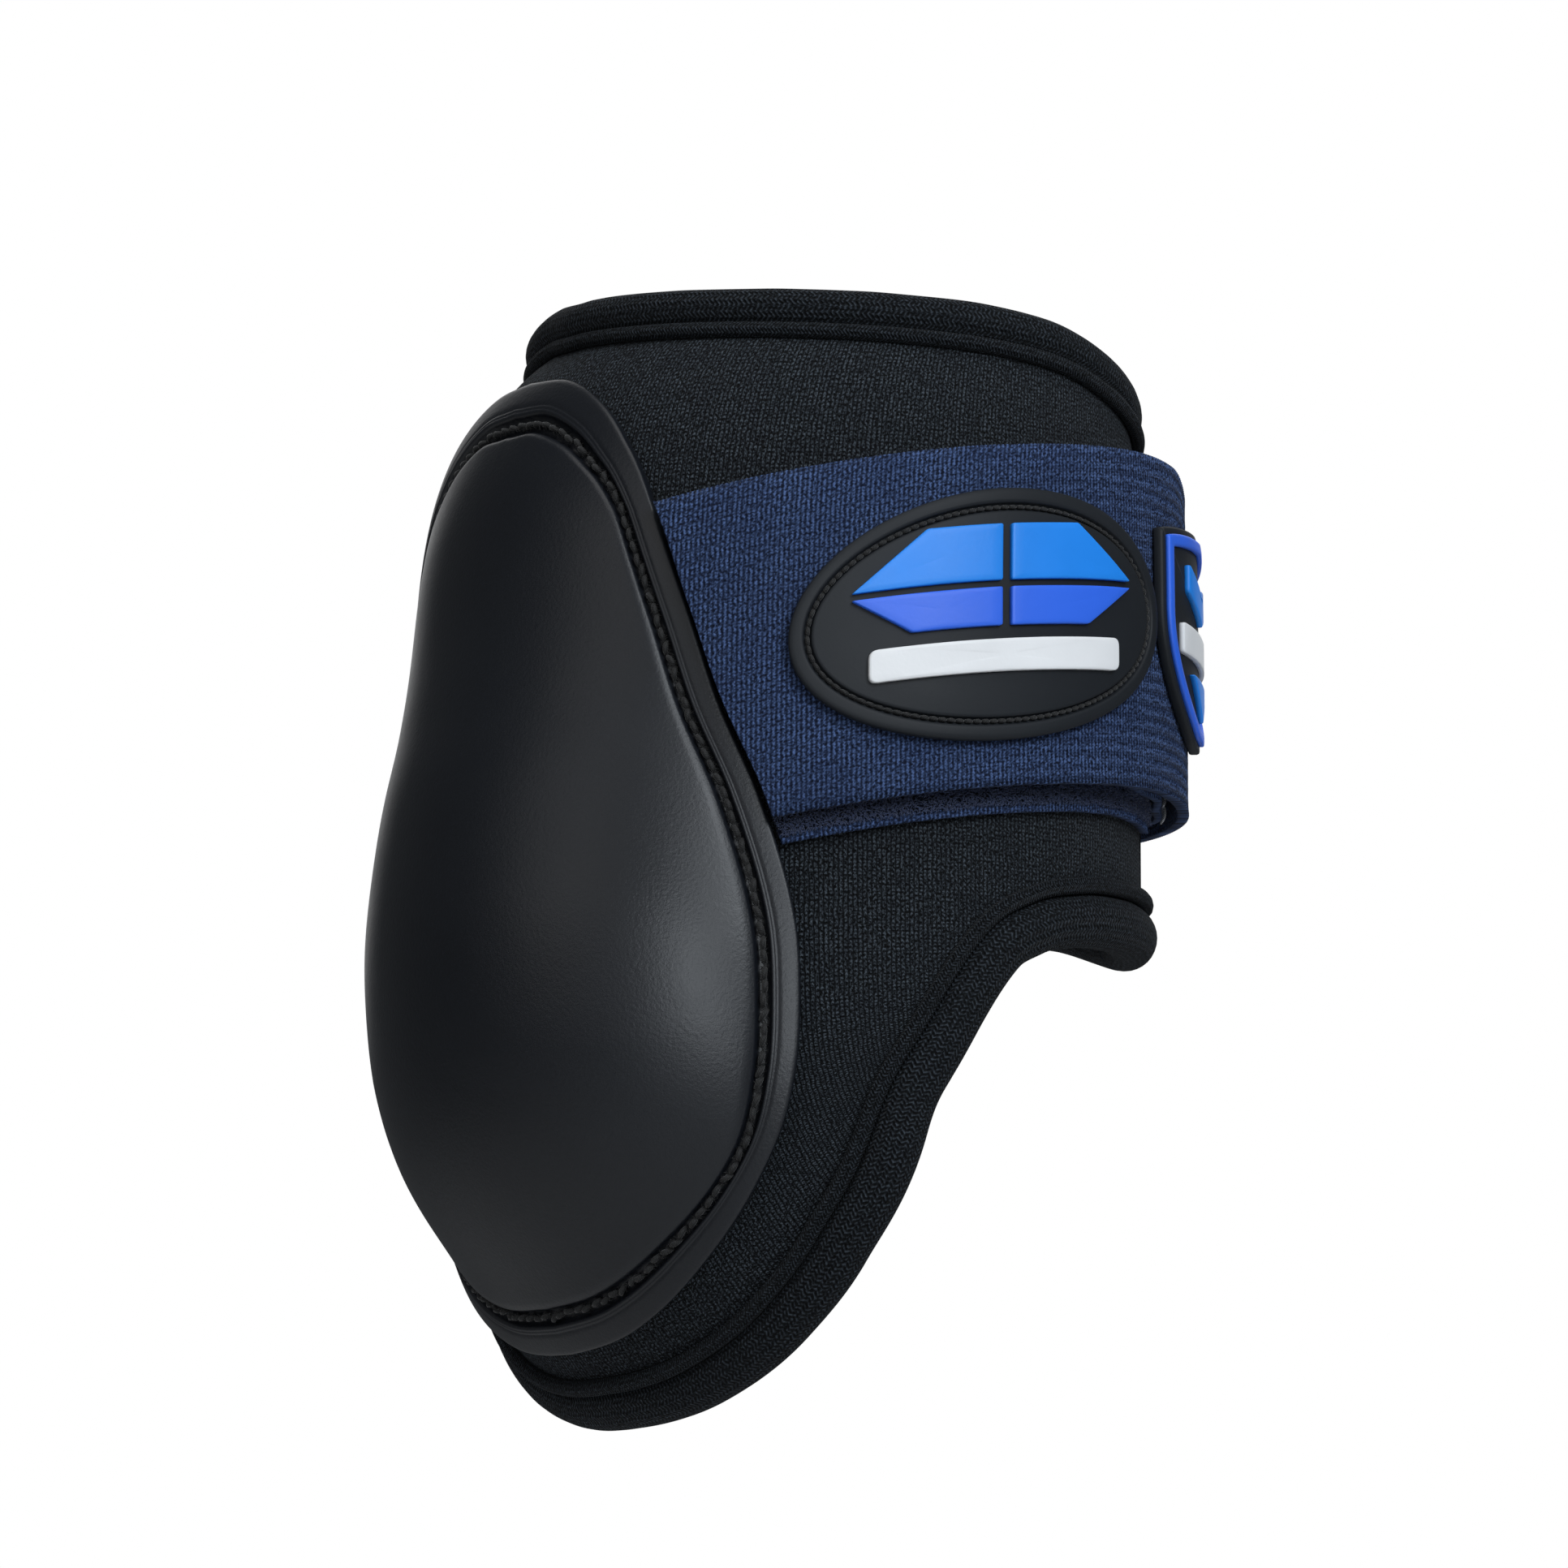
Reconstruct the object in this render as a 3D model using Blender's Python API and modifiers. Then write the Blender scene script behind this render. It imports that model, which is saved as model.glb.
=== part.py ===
"""Hind fetlock boot: a padded neoprene sleeve with a moulded strike guard, closed by one elastic strap.

Frame: metres, +Z up along the leg, -Y the back of the leg, +X the side that the strap lands on.
The origin is the middle of the leg opening at the collar. Every soft layer follows one skin, which
is given by an angle round the leg (0 at the back, 90 at +X) and a depth measured down the back.
"""
import math

import bmesh
import bpy
import numpy as np

MM = 0.001

# The skin: outer face of the neoprene.
COLLAR_RADIUS = 41.5 * MM
BODY_FLARE = 8.0 * MM          # how much wider the fetlock is than the collar
FLARE_LENGTH = 13.5 * MM       # depth over which most of that flare happens
FRONT_LINE = 40.9 * MM         # the front of the leg is straight, the back bulges
BOWL_DEPTH = 97.0 * MM         # below this the back turns in under the fetlock
BOWL_EASE = 10.0 * MM
LEAN_START = 90.0 * MM
LEAN_EASE = 8.0 * MM
LEAN_PER_METRE = math.radians(1050.0)
HEM_FLARE_START = 124.0 * MM
HEM_FLARE_EASE = 8.0 * MM
HEM_FLARE = 0.22

# Layers, as heights above the skin.
TOUCH_GAP = 0.3 * MM
NEOPRENE = 4.7 * MM
LINING = 0.8 * MM
COLLAR_ROLL_RADIUS = 2.75 * MM
COLLAR_ROLL_RISE = 4.1 * MM      # straight up from the collar's line
COLLAR_PIPING_RADIUS = 1.0 * MM
HEM_ROLL_RADIUS = 3.7 * MM
HEM_PIPING_RADIUS = 1.1 * MM
ROLL_INSET = 1.45 * MM         # rolls sit round the middle of the neoprene

# Strike guard.
FLANGE_TOP = 3.1 * MM
FLANGE_WIDTH = 3.8 * MM
GROOVE_WIDTH = 2.0 * MM
GROOVE_DROP = 0.3 * MM
GUARD_WALL = 2.2 * MM
FOAM_INSET = 12.5 * MM
FOAM_THICK = 0.6 * MM
FOAM_DROP = 1.2 * MM           # room between the dome's wall and the foam
THREAD_RADIUS = 0.35 * MM

# Strap.
STRAP_WIDTH = 47.0 * MM
STRAP_THICK = 1.4 * MM
STRAP_HEIGHT = 2.5 * MM        # inner face above the skin where it lands
STRAP_STAND_OFF = 2.4 * MM     # extra height where it spans the front
STRAP_MIDDLE = ((35, 50, 65, 90, 120, 150, 180), (50.4, 47.5, 44.9, 41.4, 38.9, 39.4, 39.0))
LOOP_THICK = 0.9 * MM
LOOP_SHOWS = 3.0 * MM          # loop pad seen below the strap
HOOK_THICK = 0.6 * MM

# Angles round the leg, in degrees from the back.
SLIT = 151.8                   # the sleeve opens here
FLAP_FOLD = 290.0              # the far wing folds here, beside the guard
STRAP_ROOT = 203.0             # the strap lifts off the far wing here
ANCHOR_END = 232.0
SEAM_GAP = 0.8                 # half the gap between the fixed and the folding sleeve

# Depth of the piping line below the collar and above the hem, against angle from the back.
COLLAR_LINE = ((0, 40, 70, 90, 105, 120, 140, 160, 180),
               (-1.4, 0.6, 1.6, 2.2, 3.2, 5.4, 8.4, 10.2, 10.8))
FAR_COLLAR_RISE = 1.7 * MM
HEM_LINE = ((0, 17, 34, 47, 62, 72, 80, 88, 97, 108, 122, 150, 180),
            (145.0, 145.2, 143.4, 139.2, 128.2, 110.6, 94.6, 84.6, 79.9, 77.7, 76.8, 76.8, 76.8))
FAR_HEM_RISE = 8.0 * MM

# Outline of the strike guard: half angle and depth, from the top down.
GUARD_HALF = ((0, 11, 20.5, 27, 32.4, 40, 45.3, 51.3, 56, 57.3, 55.8, 50.8, 41.5, 28.5, 14.5, 0),
              (6.3, 7.3, 11.4, 17, 24.5, 41, 54.5, 67, 81, 92, 105, 117.5, 127.5, 134, 137.5, 138.2))
GUARD_SPINE = (26.0, 96.0)     # depths between which the dome has a ridge
CROWN = ((4, 21, 31, 41.5, 52, 62, 72, 83, 93, 105, 117, 128, 138),
         (0.6, 0.9, 1.2, 1.7, 3.6, 6.1, 7.7, 8.6, 8.0, 6.2, 4.4, 3.2, 2.4))
GUARD_STEPS = 44               # points round the outline
FOAM_STEPS = 36

# Badges: middle angle, half width and half height.
OVAL_ANGLE, OVAL_HALF_WIDTH, OVAL_HALF_HEIGHT = 87.0, 31.0 * MM, 17.3 * MM
SHIELD_ANGLE, SHIELD_HALF_WIDTH, SHIELD_HALF_HEIGHT = 138.5, 18.5 * MM, 15.5 * MM
BADGE_THICK = 1.6 * MM
RELIEF = 0.7 * MM

COLOURS = {
    "guard": ((0.016, 0.018, 0.021), 0.45),
    "neoprene": ((0.012, 0.014, 0.016), 0.9),
    "binding": ((0.009, 0.010, 0.013), 0.85),
    "lining": ((0.02, 0.02, 0.022), 0.9),
    "foam": ((0.05, 0.05, 0.05), 0.95),
    "strap": ((0.022, 0.037, 0.095), 0.8),
    "loop": ((0.016, 0.026, 0.07), 0.95),
    "badge": ((0.02, 0.022, 0.025), 0.5),
    "azure": ((0.03, 0.33, 0.95), 0.45),
    "royal": ((0.04, 0.12, 0.80), 0.45),
    "white": ((0.85, 0.85, 0.85), 0.5),
}


def smooth(x, knots):
    """Smooth curve through a few knots: cubic pieces with averaged slopes."""
    xs, ys = (np.asarray(k, float) for k in knots)
    slope = np.gradient(ys, xs)
    i = np.clip(np.searchsorted(xs, x) - 1, 0, len(xs) - 2)
    step = xs[i + 1] - xs[i]
    t = np.clip((x - xs[i]) / step, 0.0, 1.0)
    rise = ys[i + 1] - ys[i]
    return (ys[i] + rise * (3 - 2 * t) * t ** 2
            + step * (slope[i] * t * (1 - t) ** 2 - slope[i + 1] * t ** 2 * (1 - t)))


def from_back(angle):
    """Angle from the back of the leg on either side, 0 to 180."""
    turned = np.radians(angle)
    return np.abs(np.degrees(np.arctan2(np.sin(turned), np.cos(turned))))


def skin(angle, depth, height=0.0):
    """Point at an angle round the leg, a depth down it and a height above the skin."""
    angle = np.radians(angle)
    flare = BODY_FLARE * (1 - np.exp(-(depth + 1 * MM) / FLARE_LENGTH))
    radius = COLLAR_RADIUS + flare
    centre_y = FRONT_LINE - radius
    below = depth - BOWL_DEPTH
    centre_z = -(depth + BOWL_DEPTH - np.sqrt(below ** 2 + BOWL_EASE ** 2)) / 2
    past = depth - LEAN_START
    lean = LEAN_PER_METRE * (np.sqrt(past ** 2 + LEAN_EASE ** 2) + past) / 2
    spread = depth - HEM_FLARE_START
    radius = radius + HEM_FLARE * (np.sqrt(spread ** 2 + HEM_FLARE_EASE ** 2) + spread) / 2 + height
    back = -radius * np.cos(angle)
    return np.stack([radius * np.sin(angle), centre_y + back * np.cos(lean),
                     centre_z + back * np.sin(lean)], -1)


def ease(x):
    """0 below 0, 1 above 1, and an S between them."""
    t = np.clip(x, 0, 1)
    return t * t * (3 - 2 * t)


def collar_depth(angle):
    """The collar's line, a little higher on the far side."""
    turned = np.mod(angle, 360.0)
    rise = ease((turned - 200.0) / 60.0) * ease((360.0 - turned) / 18.0)
    return smooth(from_back(angle), COLLAR_LINE) * MM - FAR_COLLAR_RISE * rise


def hem_depth(angle):
    """The hem's line, which rises towards the far side of the front."""
    turned = np.mod(angle, 360.0)
    rise = ease((turned - 146.0) / 46.0) * ease((300.0 - turned) / 70.0)
    return smooth(from_back(angle), HEM_LINE) * MM - FAR_HEM_RISE * rise


def unit(vectors):
    return vectors / np.linalg.norm(vectors, axis=-1, keepdims=True)


def layer(angle, depth, height):
    """Point a height above the skin along its true normal."""
    across = skin(angle + 0.2, depth) - skin(angle - 0.2, depth)
    below = skin(angle, depth + 0.2 * MM) - skin(angle, depth - 0.2 * MM)
    return skin(angle, depth) + height * unit(np.cross(below, across))


def along_line(angle, depth_of, height, down):
    """Points beside a line on the skin: a height out along its true normal, and square to the line."""
    step = 0.2
    depth = depth_of(angle)
    here = skin(angle, depth)
    ahead = unit(skin(angle + step, depth_of(angle + step)) - skin(angle - step, depth_of(angle - step)))
    below = skin(angle, depth + 0.2 * MM) - skin(angle, depth - 0.2 * MM)
    normal = unit(np.cross(below, ahead))
    return here + height * normal + down * np.cross(ahead, normal)


def strap_middle(angle):
    return smooth(from_back(angle), STRAP_MIDDLE) * MM


def strap_inner(angle):
    """Height of the strap's inner face: it stands off at the front and comes down to its root."""
    stand_off = STRAP_STAND_OFF * ease((angle - 60.0) / 85.0)
    fall = ease((angle - 178.0) / (STRAP_ROOT - 178.0))
    return (STRAP_HEIGHT + stand_off) * (1 - fall) + TOUCH_GAP


def guard_edge(depth):
    """Half angle of the guard's outline between its narrow top and its widest place."""
    half, depths = GUARD_HALF
    return smooth(depth / MM, (depths[2:10], half[2:10]))


def material(name):
    if name in bpy.data.materials:
        return bpy.data.materials[name]
    colour, roughness = COLOURS[name]
    made = bpy.data.materials.new(name)
    made.use_nodes = True
    shader = made.node_tree.nodes["Principled BSDF"]
    shader.inputs["Base Color"].default_value = (*colour, 1)
    shader.inputs["Roughness"].default_value = roughness
    shader.inputs["Metallic"].default_value = 0.0
    return made


def add_object(name, data, slot):
    made = bpy.data.objects.new(name, data)
    data.materials.append(material(slot))
    PARTS.objects.link(made)
    return made


def sheet(name, slot, across, down, place, thick):
    """A grid mapped by place(u, v), outer face first, and thickened inwards."""
    bm = bmesh.new()
    bmesh.ops.create_grid(bm, x_segments=across, y_segments=down, size=0.5)
    flat = np.array([v.co[:] for v in bm.verts])
    for vert, point in zip(bm.verts, place(flat[:, 0] + 0.5, 0.5 - flat[:, 1])):
        vert.co = point
    mesh = bpy.data.meshes.new(name)
    bm.to_mesh(mesh)
    bm.free()
    mesh.shade_smooth()
    made = add_object(name, mesh, slot)
    wall = made.modifiers.new("wall", "SOLIDIFY")
    wall.thickness = thick
    wall.offset = -1.0
    return made


def band(name, slot, start, end, across, down, height, thick, top, bottom):
    """A layer between two angles and two lines of depth."""
    def place(u, v):
        angle = start + (end - start) * u
        return layer(angle, top(angle) + (bottom(angle) - top(angle)) * v, height)
    return sheet(name, slot, across, down, place, thick)


def tube(name, slot, points, radius, sides=2, closed=False):
    """A round cord through the points, with filled ends unless it closes on itself."""
    curve = bpy.data.curves.new(name, "CURVE")
    curve.dimensions = "3D"
    curve.bevel_depth = radius
    curve.bevel_resolution = sides
    curve.use_fill_caps = not closed
    line = curve.splines.new("POLY")
    line.points.add(len(points) - 1)
    for target, point in zip(line.points, points):
        target.co = (*point, 1)
    line.use_cyclic_u = closed
    return add_object(name, curve, slot)


def guard_outline(count):
    """Closed outline of the guard as angles and depths, evenly stepped through its knots."""
    half, depths = GUARD_HALF
    around = np.arange(len(half))
    t = np.linspace(0, len(half) - 1, count // 2 + 1)
    angle, depth = smooth(t, (around, half)), smooth(t, (around, depths))
    return np.concatenate([angle, -angle[-2:0:-1]]), np.concatenate([depth, depth[-2:0:-1]]) * MM


def guard_ring(inset, height, count=GUARD_STEPS):
    """The guard's outline drawn in by an inset towards its spine, at a height."""
    angle, depth = guard_outline(count)
    spine = np.clip(depth, GUARD_SPINE[0] * MM, GUARD_SPINE[1] * MM)
    radius = COLLAR_RADIUS + BODY_FLARE
    reach = np.hypot(np.radians(angle) * radius, depth - spine)
    keep = np.clip(1 - inset / reach, 0, 1)
    return skin(angle * keep, spine + (depth - spine) * keep, height)


def rings_to_sheet(name, slot, rings, thick):
    """A dome from the rings, outermost first, closed along its spine and thickened inwards."""
    bm = bmesh.new()
    rows = [[bm.verts.new(p) for p in ring] for ring in rings]
    count = len(rings[0])
    for outer, inner in zip(rows, rows[1:]):
        for i in range(count):
            j = (i + 1) % count
            bm.faces.new((outer[i], inner[i], inner[j], outer[j]))
    bmesh.ops.remove_doubles(bm, verts=rows[-1], dist=0.1 * MM)
    bmesh.ops.dissolve_degenerate(bm, edges=bm.edges, dist=0.01 * MM)
    bmesh.ops.recalc_face_normals(bm, faces=bm.faces)
    mesh = bpy.data.meshes.new(name)
    bm.to_mesh(mesh)
    bm.free()
    mesh.shade_smooth()
    made = add_object(name, mesh, slot)
    wall = made.modifiers.new("wall", "SOLIDIFY")
    wall.thickness = thick
    wall.offset = -1.0
    return made


def dome_rings(insets, drop=0.0, least=0.0, count=GUARD_STEPS):
    """Rings of the dome, which rises by crown * (1 - share^2): share is 1 at the groove's inner lip and
    0 at the spine. The drop goes below the dome's face, but never under the least height."""
    inner_lip = FLANGE_WIDTH + GROOVE_WIDTH
    angle, depth = guard_outline(count)
    spine = np.clip(depth, GUARD_SPINE[0] * MM, GUARD_SPINE[1] * MM)
    reach = np.hypot(np.radians(angle) * (COLLAR_RADIUS + BODY_FLARE), depth - spine)
    rim, ridge = smooth(np.clip(depth / MM, 4, 138), CROWN) * MM, smooth(spine / MM, CROWN) * MM
    rings = []
    for inset in insets:
        share = np.clip((reach - inset) / (reach - inner_lip), 0, 1)
        rise = (rim * share + ridge * (1 - share)) * (1 - share ** 2)
        rings.append(guard_ring(inset, np.maximum(FLANGE_TOP + rise - drop, least), count))
    return rings


def make_guard():
    inner_lip = FLANGE_WIDTH + GROOVE_WIDTH
    rings = [guard_ring(0, FLANGE_TOP), guard_ring(FLANGE_WIDTH, FLANGE_TOP),
             guard_ring(FLANGE_WIDTH + GROOVE_WIDTH / 2, FLANGE_TOP - GROOVE_DROP)]
    rings += dome_rings((inner_lip, 11.0 * MM, 19.0 * MM, 30.0 * MM, 60.0 * MM))
    rings_to_sheet("strike_guard", "guard", rings, GUARD_WALL)
    lowest = 1.5 * TOUCH_GAP + FOAM_THICK
    foam = [guard_ring(FOAM_INSET, lowest, FOAM_STEPS)]
    foam += dome_rings((16.0 * MM, 22.0 * MM, 60.0 * MM), GUARD_WALL + FOAM_DROP, lowest, FOAM_STEPS)
    rings_to_sheet("guard_foam", "foam", foam, FOAM_THICK)
    thread = FLANGE_TOP + TOUCH_GAP + THREAD_RADIUS
    tube("guard_stitching", "binding", guard_ring(FLANGE_WIDTH + GROOVE_WIDTH / 4, thread), THREAD_RADIUS,
         sides=0, closed=True)


def make_sleeve(prefix, start, end, across, names):
    """Neoprene, lining, collar roll, hem roll and their pipings between two angles."""
    body, lining = names
    band(body, "neoprene", start, end, across, 10, 0.0, NEOPRENE, collar_depth, hem_depth)
    inner = -(NEOPRENE + 2 * TOUCH_GAP)
    band(lining, "lining", start, end, across, 10, inner, LINING, collar_depth, hem_depth)
    angle = np.linspace(start, end, across + 1)
    roll = skin(angle, collar_depth(angle), -ROLL_INSET)
    roll[:, 2] += COLLAR_ROLL_RISE
    tube(prefix + "collar_roll", "binding", roll, COLLAR_ROLL_RADIUS)
    piping_height = COLLAR_PIPING_RADIUS + TOUCH_GAP
    tube(prefix + "collar_piping", "binding", along_line(angle, collar_depth, piping_height, 0.2 * MM),
         COLLAR_PIPING_RADIUS, sides=1)
    fine = np.linspace(start, end, across * 4 // 3 + 1)
    tube(prefix + "hem_roll", "binding",
         along_line(fine, hem_depth, -ROLL_INSET, HEM_ROLL_RADIUS + 2 * TOUCH_GAP), HEM_ROLL_RADIUS)
    tube(prefix + "hem_piping", "binding",
         along_line(fine, hem_depth, HEM_PIPING_RADIUS + TOUCH_GAP, -0.8 * MM), HEM_PIPING_RADIUS, sides=1)


def make_binding(name, start, end):
    """Strip that wraps the sleeve's cut edge at the slit."""
    band(name, "binding", start, end, 1, 6, 0.4 * MM, NEOPRENE + LINING + 1.0 * MM, collar_depth, hem_depth)


def landing(name, slot, far_angle, start_gap, across, down, height, thick, top_in, bottom_out):
    """A layer under the strap that starts along the guard's edge."""
    def place(u, v):
        low = top_in - STRAP_WIDTH / 2
        high = bottom_out + STRAP_WIDTH / 2
        start = 50.0
        for _ in range(6):
            start = guard_edge(strap_middle(start) + low + (high - low) * v) + start_gap
        angle = start + (far_angle - start) * u
        middle = strap_middle(angle)
        top = middle - STRAP_WIDTH / 2 + top_in
        bottom = middle + STRAP_WIDTH / 2 + bottom_out
        return skin(angle, top + (bottom - top) * v, height(angle))
    return sheet(name, slot, across, down, place, thick)


def make_strap():
    level = lambda value: (lambda angle: value + 0.0 * angle)
    loop_top = TOUCH_GAP + LOOP_THICK
    landing("loop_pad", "loop", 138.0, 0.8, 14, 4, level(loop_top), LOOP_THICK, 3 * MM, LOOP_SHOWS - 1 * MM)
    selvedge = lambda a: strap_middle(a) + STRAP_WIDTH / 2 + LOOP_SHOWS - 0.7 * MM
    band("loop_selvedge", "strap", 56.0, 138.0, 14, 1, loop_top, LOOP_THICK,
         selvedge, lambda a: selvedge(a) + 1.2 * MM)
    hook_top = loop_top + TOUCH_GAP + HOOK_THICK
    landing("hook_tape", "loop", 104.0, 1.5, 10, 3, level(hook_top), HOOK_THICK, 3 * MM, -3 * MM)
    outer = lambda angle: strap_inner(angle) + STRAP_THICK
    landing("strap_elastic", "strap", STRAP_ROOT, 1.0, 24, 4, outer, STRAP_THICK, 0.0, 0.0)
    half = STRAP_WIDTH / 2
    band("strap_backing", "strap", 120.0, 176.0, 9, 3, 3.2 * MM, 1.2 * MM,
         lambda a: strap_middle(a) - half + 4 * MM, lambda a: strap_middle(a) + half - 1 * MM)
    tack = np.linspace(148.0, 152.0, 3)
    tube("backing_tack", "white", skin(tack, strap_middle(tack) + half - 3 * MM, 3.9 * MM), 0.3 * MM, sides=1)
    band("strap_anchor", "strap", STRAP_ROOT + 0.7, ANCHOR_END, 6, 3, TOUCH_GAP + STRAP_THICK, STRAP_THICK,
         lambda a: strap_middle(a) - half, lambda a: strap_middle(a) + half)
    for place, angle in (("front", STRAP_ROOT + 5.0), ("rear", ANCHOR_END - 3.0)):
        run = np.linspace(-half + 3 * MM, half - 3 * MM, 9)
        height = 2 * TOUCH_GAP + STRAP_THICK + THREAD_RADIUS
        tube("anchor_stitching_" + place, "strap", skin(angle, strap_middle(angle) + run, height),
             THREAD_RADIUS, sides=1)


def badge_point(middle, along, down, height):
    """Point on a badge: millimetres along and across the strap, height above its outer face."""
    radius = COLLAR_RADIUS + BODY_FLARE + strap_inner(middle) + STRAP_THICK + BADGE_THICK
    angle = middle + np.degrees(along / radius)
    return skin(angle, strap_middle(angle) + down, strap_inner(angle) + STRAP_THICK + height)


def badge_plate(name, slot, middle, along, down, height, thick, rings=5):
    """A plate whose outline is a closed loop of along and down values, bent round the strap."""
    shrink = np.linspace(1, 0, rings + 1)[:-1]
    centre_along, centre_down = along.mean(), down.mean()
    rows = [badge_point(middle, centre_along + (along - centre_along) * s,
                        centre_down + (down - centre_down) * s, height) for s in shrink]
    bm = bmesh.new()
    grid = [[bm.verts.new(p) for p in row] for row in rows]
    hub = bm.verts.new(badge_point(middle, centre_along, centre_down, height))
    count = len(along)
    for outer, inner in zip(grid, grid[1:]):
        for i in range(count):
            j = (i + 1) % count
            bm.faces.new((outer[i], outer[j], inner[j], inner[i]))
    for i in range(count):
        bm.faces.new((grid[-1][i], grid[-1][(i + 1) % count], hub))
    bmesh.ops.recalc_face_normals(bm, faces=bm.faces)
    outward = np.array(badge_point(middle, centre_along, centre_down, height + MM)) - np.array(hub.co)
    if np.dot(outward, hub.link_faces[0].normal) < 0:
        bmesh.ops.reverse_faces(bm, faces=bm.faces)
    mesh = bpy.data.meshes.new(name)
    bm.to_mesh(mesh)
    bm.free()
    mesh.shade_smooth()
    made = add_object(name, mesh, slot)
    wall = made.modifiers.new("wall", "SOLIDIFY")
    wall.thickness = thick
    wall.offset = -1.0
    return made


def badge_bar(name, slot, middle, half_width, top, bottom, across):
    """A plain raised bar on a badge."""
    height = 3 * TOUCH_GAP + BADGE_THICK + RELIEF

    def place(u, v):
        return badge_point(middle, half_width * (2 * u - 1), top + (bottom - top) * v, height)
    return sheet(name, slot, across, 1, place, RELIEF)


def polygon(corners, per_side):
    """Closed loop of evenly spaced points round a polygon."""
    points = np.array(corners, float)
    nexts = np.roll(points, -1, 0)
    share = np.arange(per_side)[:, None] / per_side
    loop = (points[:, None] + (nexts - points)[:, None] * share[None]).reshape(-1, 2) * MM
    return loop[:, 0], loop[:, 1]


def shield_outline(shrink, count=8):
    """Flat-topped shield: straight top, upright flanks, and two arcs that meet at the foot."""
    width, height = SHIELD_HALF_WIDTH - shrink, SHIELD_HALF_HEIGHT - shrink
    turn = np.linspace(0, np.pi / 2, count)
    right = np.stack([width * np.cos(turn) ** 0.8, height * np.sin(turn)], -1)
    top = np.array([[-width, -height * 0.8], [-width / 2, -height * 0.9], [0, -height],
                    [width / 2, -height * 0.9], [width, -height * 0.8], [width, -height * 0.4]])
    left = right[-2::-1] * (-1, 1)
    flank = np.array([[-width, -height * 0.4]])
    loop = np.concatenate([top, right, left, flank])
    return loop[:, 0], loop[:, 1]


def make_badges():
    turn = np.linspace(0, 2 * np.pi, 33)[:-1]
    base = 2 * TOUCH_GAP + BADGE_THICK
    badge_plate("oval_badge", "badge", OVAL_ANGLE, OVAL_HALF_WIDTH * np.cos(turn),
                OVAL_HALF_HEIGHT * np.sin(turn), base, BADGE_THICK, rings=2)
    inset = 2.6 * MM
    thread = badge_point(OVAL_ANGLE, (OVAL_HALF_WIDTH - inset) * np.cos(turn),
                         (OVAL_HALF_HEIGHT - inset) * np.sin(turn), base + TOUCH_GAP + THREAD_RADIUS)
    tube("oval_badge_stitching", "binding", thread, THREAD_RADIUS, sides=0, closed=True)
    relief = base + 1.5 * TOUCH_GAP + RELIEF
    for side, sign in (("left", -1), ("right", 1)):
        upper = [(sign * 0.7, -12.3), (sign * 12, -12.3), (sign * 22.5, -4.6), (sign * 0.7, -4.6)]
        lower = [(sign * 0.7, -3.7), (sign * 22.5, -3.7), (sign * 14, 1.6), (sign * 0.7, 1.6)]
        for level, corners, slot in (("upper", upper, "azure"), ("lower", lower, "royal")):
            badge_plate("oval_facet_" + level + "_" + side, slot, OVAL_ANGLE, *polygon(corners, 4),
                        relief, RELIEF, rings=1)
    badge_bar("oval_bar", "white", OVAL_ANGLE, 20 * MM, 3.4 * MM, 7.9 * MM, 7)
    badge_plate("shield_badge", "badge", SHIELD_ANGLE, *shield_outline(0.0), base, BADGE_THICK, rings=3)
    rim_along, rim_down = shield_outline(1.9 * MM)
    rim = badge_point(SHIELD_ANGLE, rim_along, rim_down, base + TOUCH_GAP + 0.5 * MM)
    tube("shield_border", "royal", rim, 0.5 * MM, sides=1, closed=True)
    chevron = polygon([(-9.5, -9.6), (0, -6.4), (9.5, -9.6), (9.5, -5.6), (0, -2.4), (-9.5, -5.6)], 3)
    badge_plate("shield_chevron", "azure", SHIELD_ANGLE, *chevron, relief, RELIEF, rings=1)
    badge_bar("shield_bar", "white", SHIELD_ANGLE, 12.5 * MM, -0.9 * MM, 3.4 * MM, 5)
    badge_plate("shield_foot", "royal", SHIELD_ANGLE, *polygon([(-7.5, 5.6), (7.5, 5.6), (0, 11.4)], 4),
                relief, RELIEF, rings=1)


for old in list(bpy.data.objects):
    bpy.data.objects.remove(old)
PARTS = bpy.data.collections.new("fetlock_boot")
bpy.context.scene.collection.children.link(PARTS)

BINDING = 1.7                  # width of the slit's binding, in degrees
make_guard()
make_sleeve("", FLAP_FOLD - 360.0 + SEAM_GAP, SLIT - BINDING - 1.6, 24, ("sleeve_body", "sleeve_lining"))
make_sleeve("flap_", SLIT + BINDING + 1.6, FLAP_FOLD - SEAM_GAP, 15, ("flap_sleeve", "flap_lining"))
make_binding("slit_binding", SLIT - BINDING - 0.4, SLIT - 0.4)
make_binding("flap_binding", SLIT + 0.4, SLIT + BINDING + 0.4)
make_strap()
make_badges()
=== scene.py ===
"""Hind fetlock boot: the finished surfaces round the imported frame.

Every soft layer follows one skin, the outer face of the neoprene. A point on it is given by an angle
round the leg, in degrees from the back towards +X, and a depth in metres measured down the sleeve.
"""
import math

import bmesh
import bpy
import numpy as np
from mathutils import Matrix, Vector


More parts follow.
